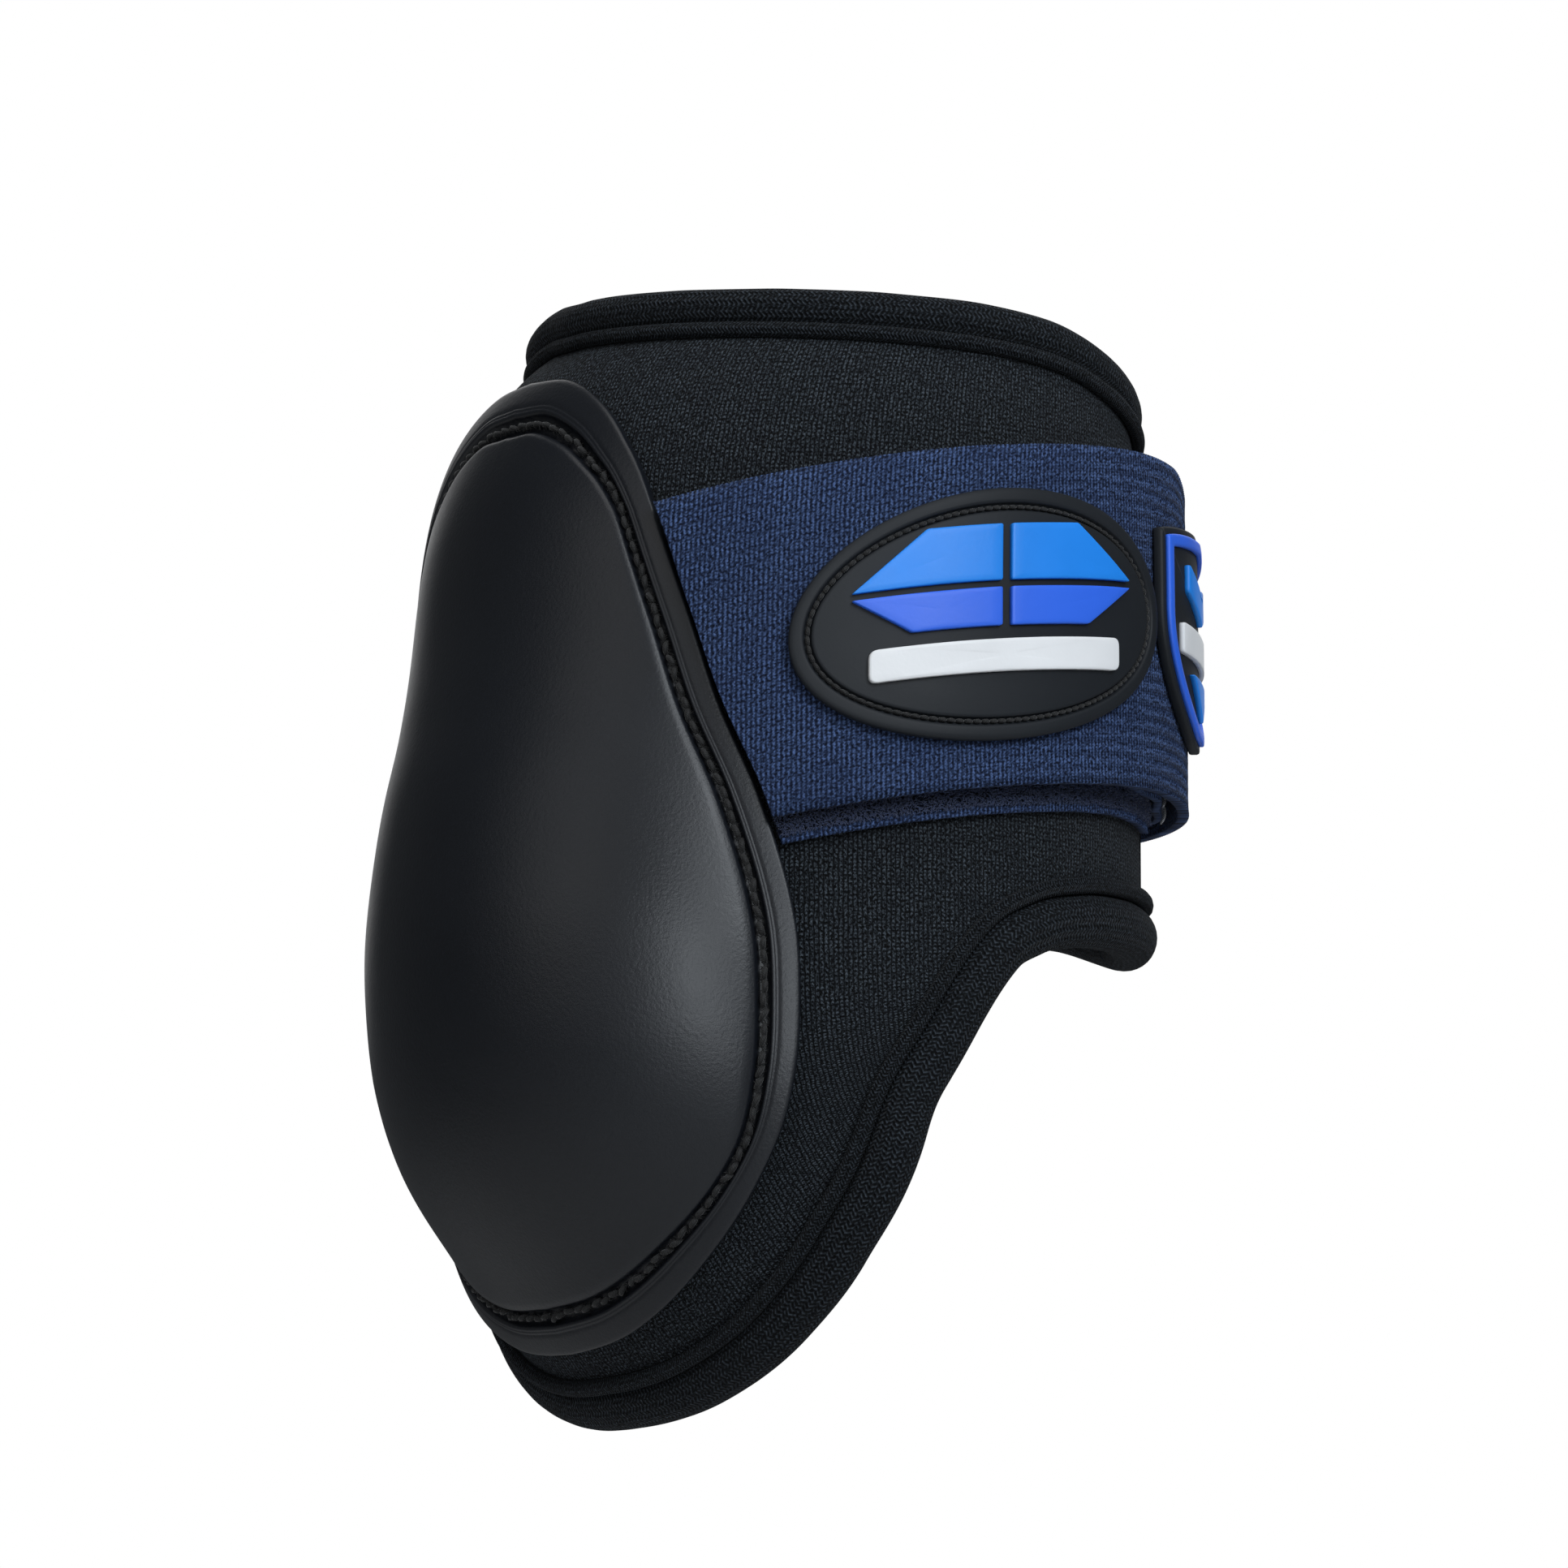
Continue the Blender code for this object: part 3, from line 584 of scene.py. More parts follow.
def roll(name, start, end, steps, sides, depth_of, inset, shift, radius, material, seed, upright=False):
    """A round binding beside a line on the skin, a shift along the skin and an inset below it. Its
    radius swells and shrinks a little, as a sewn roll does."""
    angle = np.linspace(start, end, steps)
    here, _, normal, down = line_frame(angle, depth_of)
    if upright:
        normal = unit(normal * (1, 1, 0))
        down = np.array((0.0, 0.0, -1.0)) + 0 * normal
    centre = here - inset * normal + shift * down
    swell = radius * (1 + 0.02 * ripple(angle / 3.0, 0 * angle, seed))
    made = tube_piece(name, centre, normal, down, swell[None], sides, material)
    return face_out(made, centre[steps // 2])


FIXED = (BACK_JOIN, SLIT - 0.5)
FOLDING = (SLIT - 360.0 + 0.5, BACK_JOIN)


def join(piece, far, nodes, finish):
    """The fixed side rides on the boot; the far side is baked in place and rides on no body."""
    if not far:
        return belong(piece, "boot", finish, *nodes)
    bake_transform(piece)
    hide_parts(*nodes)
    return piece


def make_wrapped_layers(far):
    start, end = FOLDING if far else FIXED
    prefix = "far_" if far else "near_"
    node = "flap_" if far else ""
    body_nodes = ["flap_sleeve"] if far else ["sleeve_body"]
    lining_nodes = ["flap_lining"] if far else ["sleeve_lining"]
    sleeve = wrapped(prefix + "sleeve", start, end, 190, 120, 0.0, lambda a: collar_depth(a) - 2.2 * MM,
                     lambda a: hem_depth(a) + 3.0 * MM, KNIT, NEOPRENE, tuck=0.7 * MM)
    join(sleeve, far, body_nodes, "neoprene")
    lining = wrapped(prefix + "lining", start, end, 120, 80, -(NEOPRENE + 0.2 * MM),
                     lambda a: collar_depth(a) + 1 * MM, lambda a: hem_depth(a) + 0.5 * MM,
                     LINING_CLOTH, LINING)
    join(lining, far, lining_nodes, "lining")
    joined = ((prefix + "collar_roll", collar_depth, ROLL_INSET, -COLLAR_ROLL_RISE, COLLAR_ROLL_RADIUS,
               COLLAR_MESH, 520, 28, "collar_roll"),
              (prefix + "collar_piping", collar_depth, -0.75 * MM, 0.2 * MM, COLLAR_PIPING_RADIUS,
               PIPING_MESH, 520, 14, "collar_piping"),
              (prefix + "hem_roll", hem_depth, ROLL_INSET, HEM_ROLL_DROP, HEM_ROLL_RADIUS,
               COLLAR_MESH, 640, 32, "hem_roll"),
              (prefix + "hem_piping", hem_depth, -0.75 * MM, -0.4 * MM, HEM_PIPING_RADIUS,
               PIPING_MESH, 640, 14, "hem_piping"))
    for seed, (name, line, inset, shift, radius, material, steps, sides, kind) in enumerate(joined):
        piece = roll(name, start, end, steps, sides, line, inset, shift, radius, material, seed,
                     upright=kind == "collar_roll")
        join(piece, far, [node + kind], "binding")


def make_slit_bindings():
    """Flat rolled bindings down the two cut edges of the slit."""
    for name, angle, body, node in (("near_slit_binding", SLIT - 1.3, "boot", "slit_binding"),
                                    ("far_slit_binding", SLIT + 1.3, "front_flap", "flap_binding")):
        v = np.linspace(0, 1, 240)
        depth = collar_depth(angle) + (hem_depth(angle) - collar_depth(angle)) * v
        turned = np.full_like(v, angle)
        normal = normal_at(turned, depth)
        across = unit(skin(turned + 0.2, depth) - skin(turned - 0.2, depth))
        centre = skin(turned, depth) - 2.4 * MM * normal
        made = tube_piece(name, centre, normal * 1.0, across * 0.3, np.full((1, 240), 3.0 * MM), 24,
                          PIPING_MESH)
        face_out(made, centre[120])
        belong(made, body, "binding", node)


# ---------------------------------------------------------------- strike guard

def guard_outline(count):
    """The outline as angles and depths: a smooth curve through the knots of one half, mirrored."""
    half, depths = GUARD_HALF
    t = np.linspace(0, len(half) - 1, count // 2 + 1)
    around = np.arange(len(half))
    angle, depth = smooth(t, (around, half)), smooth(t, (around, depths))
    return np.concatenate([angle, -angle[-2:0:-1]]), np.concatenate([depth, depth[-2:0:-1]]) * MM


def guard_ring(inset, count):
    """Angle and depth of the outline drawn in towards the spine, more so at its top and foot."""
    angle, depth = guard_outline(count)
    spine = np.clip(depth, *GUARD_SPINE)
    reach = np.hypot(np.radians(angle) * (COLLAR_RADIUS + BODY_FLARE), depth - spine)
    ends = 1.0 + 0.35 * ease((30 * MM - depth) / (22 * MM)) + 0.25 * ease((depth - 118 * MM) / (18 * MM))
    keep = np.clip(1 - inset * ends / reach, 0, 1)
    return angle * keep, spine + (depth - spine) * keep


def make_strike_guard():
    """Rings out from under the spine to the outline, then inwards: wall, flat flange with two fine
    lines, groove, lip, and a dome that follows 1 - share^2, where share is 1 at the lip and 0 at the
    spine."""
    count = 480
    lip = FLANGE_WIDTH + GROOVE_WIDTH
    floor = FLANGE_HEIGHT - GROOVE_DEPTH
    edge = [(0.30, 0.30), (0.02, 0.45), (0.0, 0.9), (0.0, 1.4), (0.0, 1.95), (0.05, 2.25), (0.18, 2.45),
            (0.40, 2.57), (0.7, 2.6), (1.4, 2.62), (2.2, 2.62), (2.75, 2.6), (2.85, 2.53), (2.95, 2.6),
            (3.15, 2.6), (3.25, 2.53), (3.35, 2.6), (3.55, 2.57), (3.68, 2.40), (3.74, 2.0)]
    rows = [(inset * MM, height * MM) for inset, height in edge]
    rows += [(FLANGE_WIDTH + 0.16 * MM, floor), (FLANGE_WIDTH + 0.7 * MM, floor - 0.06 * MM),
             (lip - 0.5 * MM, floor - 0.06 * MM), (lip - 0.12 * MM, floor)]
    rows += [(lip, floor + 0.6 * MM), (lip + 0.1 * MM, LIP_HEIGHT - 0.45 * MM),
             (lip + 0.35 * MM, LIP_HEIGHT - 0.1 * MM)]
    rows = [(inset, 0.3 * MM) for inset in (90 * MM, 16 * MM, 8 * MM, 3 * MM)] + rows
    rings = []
    for inset, height in rows:
        angle, depth = guard_ring(inset, count)
        rings.append(layer(angle, depth, np.full(count, height)))
    angle, depth = guard_ring(lip + 0.35 * MM, count)
    spine = np.clip(guard_outline(count)[1], *GUARD_SPINE)
    rim = smooth(np.clip(guard_outline(count)[1] / MM, 4, 138), RIM_CROWN) * MM
    ridge = smooth(spine / MM, RIM_CROWN) * MM
    for share in np.linspace(1, 0, 34)[1:]:
        rise = (rim * share + ridge * (1 - share)) * (1 - share ** 2)
        rings.append(layer(angle * share, spine + (depth - spine) * share, LIP_HEIGHT + rise))
    faces, ci, cj = grid_faces(len(rings), count, wrap_cols=True)
    uv = np.stack([cj, ci], -1) * 0.6
    made = mesh_piece("strike_guard_shell", np.array(rings), faces.tolist(), uv, GUARD)
    weld(made)
    face_out(made, (0, -0.055, -0.075))
    belong(made, "boot", "guard", "strike_guard", "guard_foam")


def weld(made):
    """Merges doubled points, such as those along the spine, and turns every face out."""
    bm = bmesh.new()
    bm.from_mesh(made.data)
    bmesh.ops.remove_doubles(bm, verts=bm.verts, dist=0.002 * MM)
    bmesh.ops.dissolve_degenerate(bm, edges=bm.edges, dist=0.001 * MM)
    bmesh.ops.recalc_face_normals(bm, faces=bm.faces)
    bm.to_mesh(made.data)
    bm.free()
    made.data.shade_smooth()


def stitches(name, centre, ahead, side, up, length, radius, lift, material, sides=6, steps=6):
    """Arched stitches, one at each centre: a short cord that rises by lift (1 - s^2) along s in -1 to 1
    and thins towards its ends."""
    s = np.linspace(-1, 1, steps)
    path = (centre[:, None] + ahead[:, None] * (s * length / 2)[:, None]
            + up[:, None] * (lift * (1 - s ** 2))[:, None])
    thin = radius * np.sqrt(1.04 - s ** 2 * 0.75)
    shape = (len(centre), steps, 3)
    made = tube_piece(name, path, np.broadcast_to(side[:, None], shape), np.broadcast_to(up[:, None], shape),
                      np.broadcast_to(thin, shape[:2]), sides, material)
    return face_out(made, centre.mean(0))


def make_guard_stitching():
    """One row of frayed stitches round the groove, unevenly spaced and turned, with loose fibres."""
    rng = np.random.default_rng(11)
    fine = 1760
    angle, depth = guard_ring(FLANGE_WIDTH + GROOVE_WIDTH * 0.5, fine)
    line = layer(angle, depth, np.full(fine, FLANGE_HEIGHT - GROOVE_DEPTH + 0.15 * MM))
    ahead = unit(np.roll(line, -4, 0) - np.roll(line, 4, 0))
    up = normal_at(angle, depth)
    side = np.cross(up, ahead)
    gaps = np.linalg.norm(np.roll(line, -1, 0) - line, axis=-1)
    reach = np.concatenate([[0], np.cumsum(gaps)])[:-1]

    def row(name, count, spread, turn, length, radius, lift, sides, steps):
        place = (np.arange(count) + rng.normal(0, spread, count)) * gaps.sum() / count
        pick = np.searchsorted(reach, np.mod(place, gaps.sum())) % fine
        swing = rng.normal(0, turn, (count, 1))
        raised = np.abs(swing) * rng.uniform(0, 0.35, (count, 1))
        along = unit(ahead[pick] + swing * side[pick] + raised * up[pick])
        over = unit(up[pick] - (up[pick] * along).sum(-1, keepdims=True) * along)
        centre = line[pick] + rng.normal(0, 0.12 * MM, (count, 1)) * side[pick] + 0.3 * radius * up[pick]
        return stitches(name, centre, along, np.cross(over, along), over, length, radius, lift, BLACK_THREAD,
                        sides, steps)

    made = row("guard_groove_stitching", 170, 0.10, 0.28, 2.0 * MM, 0.40 * MM, 0.50 * MM, 6, 6)
    belong(made, "boot", "binding", "guard_stitching")
    fuzz = row("guard_groove_fuzz", 1100, 0.4, 1.3, 1.5 * MM, 0.06 * MM, 0.45 * MM, 4, 4)
    belong(fuzz, "boot", "binding")


# ---------------------------------------------------------------- strap

def strap_middle(angle):
    return smooth(from_back(angle), STRAP_MIDDLE) * MM


def strap_inner(angle):
    """Height of the strap's inner face above the skin: it stands off over the front and comes down to
    the wing at its root."""
    lift = ease((angle - 60.0) / 85.0)
    fall = ease((angle - 178.0) / (STRAP_ROOT - 178.0))
    return (STRAP_HEIGHT + STRAP_STAND_OFF * lift) * (1 - fall) + 0.4 * MM


def guard_edge(depth):
    half, depths = GUARD_HALF
    return smooth(depth / MM, (depths[2:10], half[2:10]))


def strap_start(offset, gap):
    """Angle where a line this far below the strap's middle meets the guard's edge."""
    start = np.full_like(offset, 50.0)
    for _ in range(8):
        start = guard_edge(strap_middle(start) + offset) + gap
    return start


def strap_layer(name, far, across, down, low, high, gap, height, thick, material, ribs=0.0, rough=0.0,
                dip=0.0):
    """A layer of the strap: from the guard's edge to a far angle, and between two offsets from its
    middle. Ribs run across it every RIB_PITCH, and its upper edge may dip where it turns the corner."""
    u, v = np.meshgrid(np.linspace(0, 1, across), np.linspace(0, 1, down), indexing="ij")
    offset = low + (high - low) * v
    start = strap_start(offset, gap)
    angle = start + (far - start) * u
    slack = ease((angle - 130.0) / 16.0) * ease((190.0 - angle) / 20.0)
    offset = offset + dip * slack * (1 - v) ** 2
    run = angle * np.radians(1.0) * 54.0
    lift = height(angle)
    if ribs:
        edge = np.minimum(v, 1 - v) * (high - low)
        bead = 0.10 * MM * np.exp(-(edge / (0.8 * MM)) ** 2)
        lift = lift + ribs * np.cos(2 * np.pi * run * MM / RIB_PITCH) + bead
        lift = lift + 0.10 * MM * ripple(angle / 5.0, offset / (9 * MM), 21)
    if rough:
        lift = lift + rough * ripple(angle * 2.2, offset / (0.5 * MM), 31)
    depth = strap_middle(angle) + offset
    uv = np.stack([run, offset / MM], -1)
    inner = layer(angle, depth, height(angle) - thick)
    return slab_piece(name, layer(angle, depth, lift), inner, uv, material)


def make_strap():
    half = STRAP_WIDTH / 2

    def outer(angle):
        anchored = ease((angle - STRAP_ROOT) / 3.0)
        return (strap_inner(angle) + STRAP_THICK) * (1 - anchored) + 1.8 * MM * anchored

    strap = strap_layer("elastic_strap", ANCHOR_END, 1150, 26, -half, half, 0.7, outer, STRAP_THICK, STRAP,
                        ribs=0.075 * MM, dip=2.2 * MM)
    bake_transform(strap)
    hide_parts("strap_elastic", "strap_anchor")
    pad = strap_layer("loop_pile_pad", 138.0, 420, 90, -half + 3 * MM, half + 2.6 * MM, 0.6,
                      lambda a: 1.2 * MM + 0 * a, 0.9 * MM, LOOP, rough=0.14 * MM)
    belong(pad, "boot", "loop", "loop_pad")
    selvedge = strap_layer("loop_pad_selvedge", 138.0, 500, 5, half + 2.2 * MM, half + 3.5 * MM, 0.7,
                           lambda a: 1.3 * MM + 0 * a, 1.0 * MM, STRAP, ribs=0.05 * MM)
    belong(selvedge, "boot", "strap", "loop_selvedge")
    hooks = strap_layer("hook_strip", 104.0, 160, 30, -half + 3 * MM, half - 2 * MM, 1.5,
                        lambda a: 2.3 * MM + 0 * a, 0.7 * MM, LOOP, rough=0.05 * MM)
    belong(hooks, "closing_strap", "loop", "hook_tape")
    make_pile()
    make_backing(half)
    make_anchor_stitches(half)


def make_pile():
    """Single curls of pile along the strip of pad that shows below the strap."""
    rng = np.random.default_rng(3)
    count = 4200
    offset = STRAP_WIDTH / 2 + rng.uniform(-0.8, 2.5, count) * MM
    start = strap_start(offset, 0.9)
    angle = start + (137.5 - start) * rng.uniform(0, 1, count)
    depth = strap_middle(angle) + offset
    up = normal_at(angle, depth)
    across = unit(skin(angle + 0.2, depth) - skin(angle - 0.2, depth))
    turn = rng.uniform(0, np.pi, (count, 1))
    ahead = unit(np.cos(turn) * across + np.sin(turn) * np.cross(up, across))
    centre = layer(angle, depth, 1.15 * MM + rng.uniform(0, 0.25, count) * MM)
    made = stitches("loop_pile_curls", centre, ahead, np.cross(up, ahead), up, 0.75 * MM, 0.06 * MM,
                    0.55 * MM, NAVY_THREAD, sides=4, steps=5)
    belong(made, "boot", "loop")


def make_backing(half):
    """The folded inner layer behind the strap's front: a wavy strip between sleeve and strap."""
    u, v = np.meshgrid(np.linspace(0, 1, 220), np.linspace(0, 1, 40), indexing="ij")
    angle = 120.0 + 56.0 * u
    offset = -half + 4 * MM + (2 * half - 4.5 * MM) * v
    lean = 0.45 * MM * np.sin(angle / 2.6) * ease(v * 2 - 0.8)
    depth = strap_middle(angle) + offset
    lift = 3.1 * MM + lean + 0.12 * MM * ripple(angle / 2.0, offset / (3 * MM), 8)
    uv = np.stack([angle * 0.94, offset / MM], -1)
    inner = layer(angle, depth, lift - 1.1 * MM)
    made = slab_piece("folded_backing", layer(angle, depth, lift), inner, uv, STRAP)
    belong(made, "closing_strap", "strap", "strap_backing")
    turns = np.linspace(147.0, 152.0, 9)
    depth = strap_middle(turns) + half - 2.2 * MM + np.where(np.arange(9) % 2, 1.0, -1.0) * MM
    up = normal_at(turns, depth)
    across = unit(skin(turns + 0.2, depth) - skin(turns - 0.2, depth))
    tilt = unit(np.cross(up, across) + 0.5 * across)
    place = layer(turns, depth, np.full(9, 3.5 * MM))
    tack = stitches("white_bar_tack", place, tilt, np.cross(up, tilt), up, 2.6 * MM, 0.25 * MM, 0.2 * MM,
                    WHITE_THREAD)
    belong(tack, "closing_strap", "white", "backing_tack")


def make_anchor_stitches(half):
    """Two rows of stitches that hold the strap's sewn end to the wing."""
    for name, angle, node in (("anchor_row_front", STRAP_ROOT + 5.0, "anchor_stitching_front"),
                              ("anchor_row_rear", ANCHOR_END - 3.0, "anchor_stitching_rear")):
        run = np.arange(-half + 2.5 * MM, half - 2 * MM, 2.4 * MM)
        turned = np.full_like(run, angle)
        depth = strap_middle(turned) + run
        up = normal_at(turned, depth)
        across = unit(skin(turned + 0.2, depth) - skin(turned - 0.2, depth))
        down = unit(np.cross(across, up))
        made = stitches(name, layer(turned, depth, np.full_like(run, 1.85 * MM)), down, across, up, 2.1 * MM,
                        0.26 * MM, 0.22 * MM, NAVY_THREAD)
        belong(made, "front_flap", "strap", node)


# ---------------------------------------------------------------- badges

def badge_point(middle, along, down, height):
    """Along and down are measured on the strap's outer face, and height out from it."""
    radius = COLLAR_RADIUS + BODY_FLARE + strap_inner(middle) + STRAP_THICK + BADGE_THICK
    angle = middle + np.degrees(along / radius)
    return layer(angle, strap_middle(angle) + down, strap_inner(angle) + STRAP_THICK + 0.15 * MM + height)


def plate(name, middle, outline, profile, material, hub=(0.0, 0.0)):
    """A moulded plate: its outline drawn in by each inset of the profile, at that profile's height, then
    a flat top in even shares towards the hub, closed below. outline(inset) gives along and down arrays."""
    drawn = [(*outline(inset * MM), height * MM) for inset, height in profile]
    along, down, height = drawn[-1]
    drawn += [(hub[0] + (along - hub[0]) * s, hub[1] + (down - hub[1]) * s, height)
              for s in (0.8, 0.6, 0.4, 0.2)]
    points = np.array([badge_point(middle, x, y, np.full(len(x), z)) for x, y, z in drawn])
    rows, count = points.shape[:2]
    faces, ci, cj = grid_faces(rows, count, wrap_cols=True)
    top = badge_point(middle, np.array(hub[0]), np.array(hub[1]), np.array(height))
    base = badge_point(middle, np.array(hub[0]), np.array(hub[1]), np.array(profile[0][1] * MM))
    verts = np.concatenate([points.reshape(-1, 3), [top, base]])
    ring = np.arange(count)
    nexts = (ring + 1) % count
    tail = (rows - 1) * count
    upper = np.stack([tail + nexts, tail + ring, np.full(count, len(verts) - 2)], -1)
    lower = np.stack([ring, nexts, np.full(count, len(verts) - 1)], -1)
    uv = np.concatenate([np.stack([cj, ci], -1).reshape(-1, 2) * 0.3, np.zeros((6 * count, 2))])
    made = mesh_piece(name, verts, faces.tolist() + upper.tolist() + lower.tolist(), uv, material)
    return face_out(made, (top + base) / 2)


def on_strap(made, node, finish):
    return belong(made, "closing_strap", finish, node)


def ellipse(inset):
    """Ellipse drawn in by the same distance all round, near enough: both half axes lose the inset."""
    turn = np.linspace(0, 2 * np.pi, 240, endpoint=False)
    return (OVAL_HALF_WIDTH - inset) * np.cos(turn), (OVAL_HALF_HEIGHT - inset) * np.sin(turn)


def corners(points, rounding=0.35):
    """Outline function of a polygon with rounded corners, drawn in towards its middle."""
    shape = np.array(points, float)
    middle = shape.mean(0)
    before, after = np.roll(shape, 1, 0), np.roll(shape, -1, 0)
    to_before, to_after = unit(before - shape), unit(after - shape)
    share = np.linspace(0, 1, 7)[None, :, None]
    start, end = shape + rounding * to_before, shape + rounding * to_after
    loop = ((1 - share) ** 2 * start[:, None] + 2 * share * (1 - share) * shape[:, None]
            + share ** 2 * end[:, None]).reshape(-1, 2)
    steps = []
    for a, b in zip(loop, np.roll(loop, -1, 0)):
        pieces = max(1, int(np.linalg.norm(b - a) / 1.0))
        steps.append(a + (b - a) * (np.arange(pieces) / pieces)[:, None])
    loop = np.concatenate(steps)
    away = loop - middle

    def outline(inset):
        reach = np.linalg.norm(away, axis=-1, keepdims=True)
        drawn = middle + away * np.clip(1 - (inset / MM) / reach, 0.02, 1)
        return drawn[:, 0] * MM, drawn[:, 1] * MM

    return outline, middle * MM


def shield_corners(inset):
    """Shield: a low peaked top, upright flanks, and two arcs that meet in a point at the foot."""
    width, height = SHIELD_HALF_WIDTH - inset, SHIELD_HALF_HEIGHT - inset
    x = np.linspace(-1, 1, 60, endpoint=False)
    top = np.stack([x * width, -height * (0.86 + 0.14 * (1 - np.abs(x)) ** 0.8)], -1)
    t = np.linspace(0, 1, 60, endpoint=False)
    fall = -0.86 + 1.86 * t
    flank = np.where(fall < -0.2, 1.0, np.sqrt(np.clip(1 - ((fall + 0.2) / 1.2) ** 2, 0, 1)) ** 1.15)
    right = np.stack([width * flank, height * fall], -1)
    left = np.stack([-width * flank[::-1], height * fall[::-1]], -1)
    loop = np.concatenate([top, right, left])
    return loop[:, 0], loop[:, 1]


RAISED = [(0.0, 1.40), (0.0, 1.90), (0.05, 2.10), (0.16, 2.20), (0.40, 2.24)]
OVAL_PROFILE = [(0.5, 0.0), (0.1, 0.05), (0.0, 0.3), (0.0, 1.05), (0.10, 1.35), (0.35, 1.52), (0.8, 1.58),
                (1.6, 1.60), (1.95, 1.55), (2.08, 1.35), (2.12, 0.95), (2.3, 0.82), (2.7, 0.80), (3.0, 0.84),
                (3.12, 1.0), (3.16, 1.3), (3.28, 1.44), (3.6, 1.48)]
SHIELD_PROFILE = [(0.5, 0.0), (0.1, 0.05), (0.0, 0.3), (0.0, 1.1), (0.12, 1.4), (0.4, 1.5), (0.9, 1.5)]


def make_oval_badge():
    on_strap(plate("oval_badge_plate", OVAL_ANGLE, ellipse, OVAL_PROFILE, BADGE), "oval_badge", "badge")
    count = 108
    turn = np.linspace(0, 2 * np.pi, 2000, endpoint=False)
    inset = 2.65 * MM
    along, down = (OVAL_HALF_WIDTH - inset) * np.cos(turn), (OVAL_HALF_HEIGHT - inset) * np.sin(turn)
    line = badge_point(OVAL_ANGLE, along, down, np.full_like(turn, 0.95 * MM))
    gaps = np.linalg.norm(np.roll(line, -1, 0) - line, axis=-1)
    reach = np.concatenate([[0], np.cumsum(gaps)])[:-1]
    pick = np.searchsorted(reach, np.arange(count) * gaps.sum() / count) % len(line)
    ahead = unit(np.roll(line, -2, 0) - np.roll(line, 2, 0))[pick]
    outward = badge_point(OVAL_ANGLE, along, down, np.full_like(turn, 2 * MM)) - line
    up = unit(outward)[pick]
    side = np.cross(up, ahead)
    made = stitches("oval_badge_thread", line[pick], ahead, side, up, 1.35 * MM, 0.29 * MM, 0.24 * MM,
                    BLACK_THREAD)
    on_strap(made, "oval_badge_stitching", "binding")
    facets = (("upper_left", [(-22.5, -4.6), (-12.0, -12.3), (-0.7, -12.3), (-0.7, -4.6)], AZURE, "azure"),
              ("upper_right", [(0.7, -12.3), (12.0, -12.3), (22.5, -4.6), (0.7, -4.6)], AZURE, "azure"),
              ("lower_left", [(-22.5, -3.7), (-0.7, -3.7), (-0.7, 1.6), (-14.0, 1.6)], ROYAL, "royal"),
              ("lower_right", [(0.7, -3.7), (22.5, -3.7), (14.0, 1.6), (0.7, 1.6)], ROYAL, "royal"))
    for name, shape, material, finish in facets:
        outline, middle = corners(shape)
        made = plate("oval_relief_" + name, OVAL_ANGLE, outline, RAISED, material, hub=middle)
        on_strap(made, "oval_facet_" + name, finish)
    outline, middle = corners([(-20.0, 3.4), (20.0, 3.4), (20.0, 7.9), (-20.0, 7.9)], 1.2)
    on_strap(plate("oval_relief_bar", OVAL_ANGLE, outline, RAISED, WHITE, hub=middle), "oval_bar", "white")


def make_shield_badge():
    on_strap(plate("shield_badge_plate", SHIELD_ANGLE, shield_corners, SHIELD_PROFILE, BADGE),
             "shield_badge", "badge")
    count = len(shield_corners(0.0)[0])
    rings = []
    for inset, height in ((1.1, 1.4), (1.1, 1.95), (1.25, 2.12), (1.6, 2.16), (2.3, 2.16), (2.65, 2.12),
                          (2.8, 1.95), (2.8, 1.4)):
        rings.append(badge_point(SHIELD_ANGLE, *shield_corners(inset * MM), np.full(count, height * MM)))
    points = np.array(rings)
    faces, ci, cj = grid_faces(len(rings), count, wrap_rows=True, wrap_cols=True)
    border = mesh_piece("shield_relief_border", points.reshape(-1, 3), faces.tolist(),
                        np.stack([cj, ci], -1) * 0.3, ROYAL)
    weld(border)
    on_strap(border, "shield_border", "royal")
    for name, shape, material, finish in (
            ("chevron", [(-9.5, -9.6), (0, -6.4), (9.5, -9.6), (9.5, -5.6), (0, -2.4), (-9.5, -5.6)], AZURE,
             "azure"),
            ("bar", [(-12.5, -0.9), (12.5, -0.9), (12.5, 3.4), (-12.5, 3.4)], WHITE, "white"),
            ("foot", [(-7.5, 5.6), (7.5, 5.6), (0, 11.4)], AZURE, "royal")):
        outline, middle = corners(shape, 0.6)
        made = plate("shield_relief_" + name, SHIELD_ANGLE, outline, RAISED, material, hub=middle)
        on_strap(made, "shield_" + name, finish)


# ---------------------------------------------------------------- studio

MIDDLE = Vector((0, -8, -68)) * MM
VIEW_TURN = math.radians(54.8)
VIEW_UP = Vector((0.1278, -0.0901, 0.9877))
VIEW_LENS = 247.8
VIEW_DISTANCE = 1.5
FLOOR_HALF, FLOOR_LEVEL = 4.0, -0.62
COOL = (0.88, 0.94, 1.0)       # the lamps' slightly blue white


def make_camera():
    """Long lens, a little below the boot and looking at the strap's landing side from behind."""
    right = Vector((math.cos(VIEW_TURN), math.sin(VIEW_TURN), 0))
    up = VIEW_UP
    back = right.cross(up)
    target = MIDDLE + up * (10.95 * MM) - right * (0.3 * MM)
    data = bpy.data.cameras.new("camera")
    data.lens = VIEW_LENS
    data.sensor_width = 36
    data.clip_start = 0.05
    camera = bpy.data.objects.new("camera", data)
    bpy.context.scene.collection.objects.link(camera)
    turn = Matrix((right, up, back)).transposed().to_4x4()
    camera.matrix_world = Matrix.Translation(target + back * VIEW_DISTANCE) @ turn
    bpy.context.scene.camera = camera
    return right, up, back


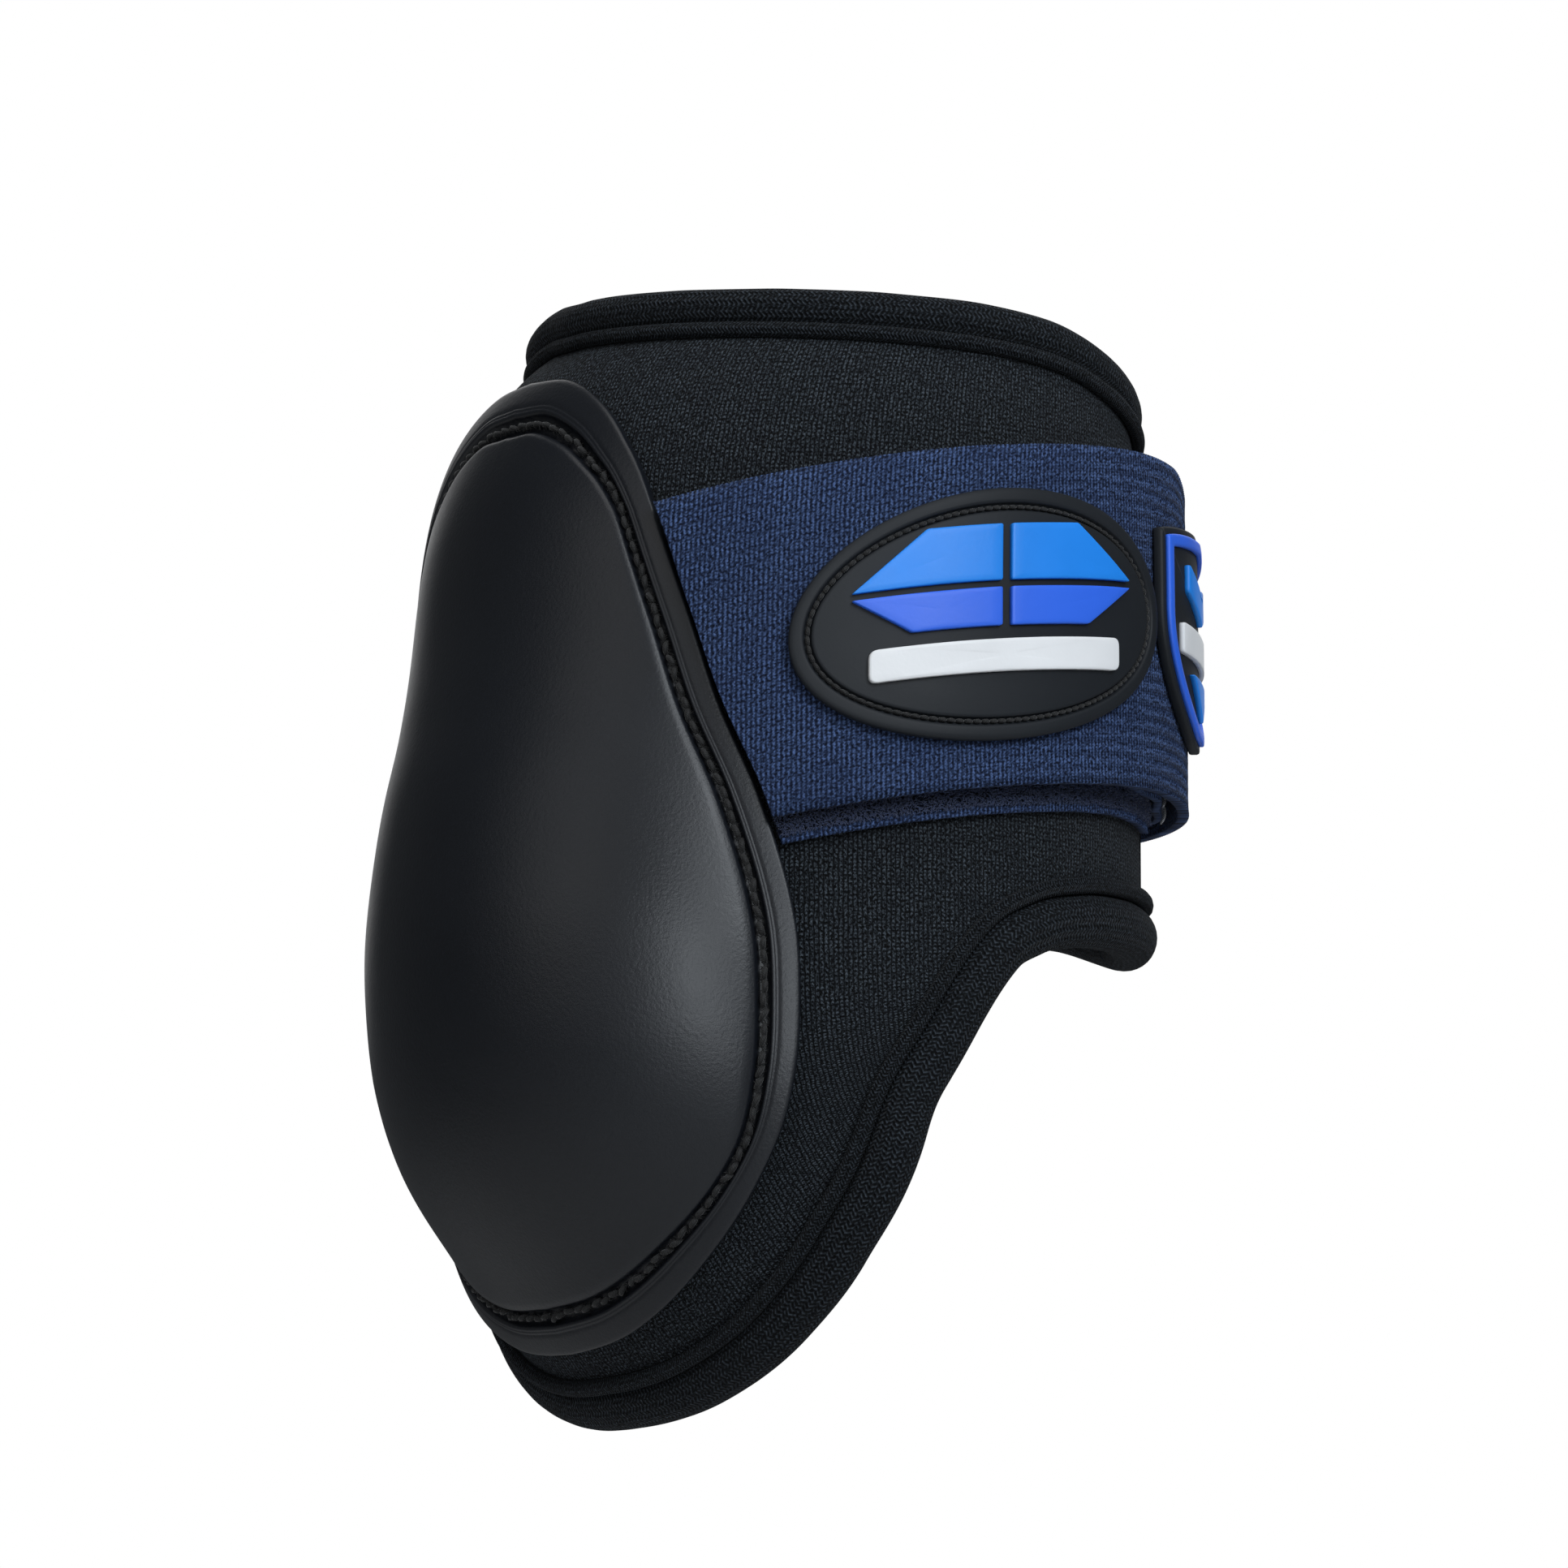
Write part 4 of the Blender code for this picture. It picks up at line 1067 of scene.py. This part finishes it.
def area_light(name, place, size, power, colour=(1, 1, 1)):
    data = bpy.data.lights.new(name, "AREA")
    data.energy = power
    data.size = size
    data.color = colour
    light = bpy.data.objects.new(name, data)
    light.location = place
    bpy.context.scene.collection.objects.link(light)
    light.rotation_euler = (MIDDLE - light.location).to_track_quat("-Z", "Y").to_euler()
    return light


def make_studio(right, up, back):
    world = bpy.data.worlds.new("studio")
    bpy.context.scene.world = world
    world.use_nodes = True
    tree = world.node_tree
    tree.nodes.clear()
    seen = tree.nodes.new("ShaderNodeBackground")
    seen.inputs["Color"].default_value = (1, 1, 1, 1)
    seen.inputs["Strength"].default_value = 1.0
    lit = tree.nodes.new("ShaderNodeBackground")
    lit.inputs["Color"].default_value = (0.9, 0.95, 1.0, 1)
    lit.inputs["Strength"].default_value = 0.10
    path = tree.nodes.new("ShaderNodeLightPath")
    mix = tree.nodes.new("ShaderNodeMixShader")
    out = tree.nodes.new("ShaderNodeOutputWorld")
    tree.links.new(path.outputs["Is Camera Ray"], mix.inputs[0])
    tree.links.new(lit.outputs[0], mix.inputs[1])
    tree.links.new(seen.outputs[0], mix.inputs[2])
    tree.links.new(mix.outputs[0], out.inputs[0])
    pale = Finish("pale floor", roughness=0.9)
    pale.colour((0.8, 0.8, 0.8, 1))
    corner = FLOOR_HALF * np.array([(-1, -1), (1, -1), (1, 1), (-1, 1)])
    floor = mesh_piece("floor", np.c_[corner, np.full(4, FLOOR_LEVEL)], [[0, 1, 2, 3]], np.zeros((4, 2)),
                       pale.material)
    area_light("key", MIDDLE + right * 0.65 + back * 0.85 + up * 0.70, 0.6, 9.6, COOL)
    sheen = area_light("front", MIDDLE + right * 0.10 + back * 1.1 + up * 0.20, 0.30, 3.6, COOL)
    sheen.visible_diffuse = False
    area_light("left_fill", MIDDLE - right * 0.9 + back * 0.9 + up * 0.6, 0.9, 2.2)
    area_light("overhead", MIDDLE + up * 1.1 + back * 0.25, 1.0, 4.5)
    area_light("far_fill", MIDDLE - back * 1.2 + up * 0.5, 1.2, 5.0)
    scene = bpy.context.scene
    scene.view_settings.view_transform = "Standard"
    scene.view_settings.look = "None"


make_studio(*make_camera())
make_wrapped_layers(far=False)
make_wrapped_layers(far=True)
make_slit_bindings()
make_strike_guard()
make_guard_stitching()
make_strap()
make_oval_badge()
make_shield_badge()
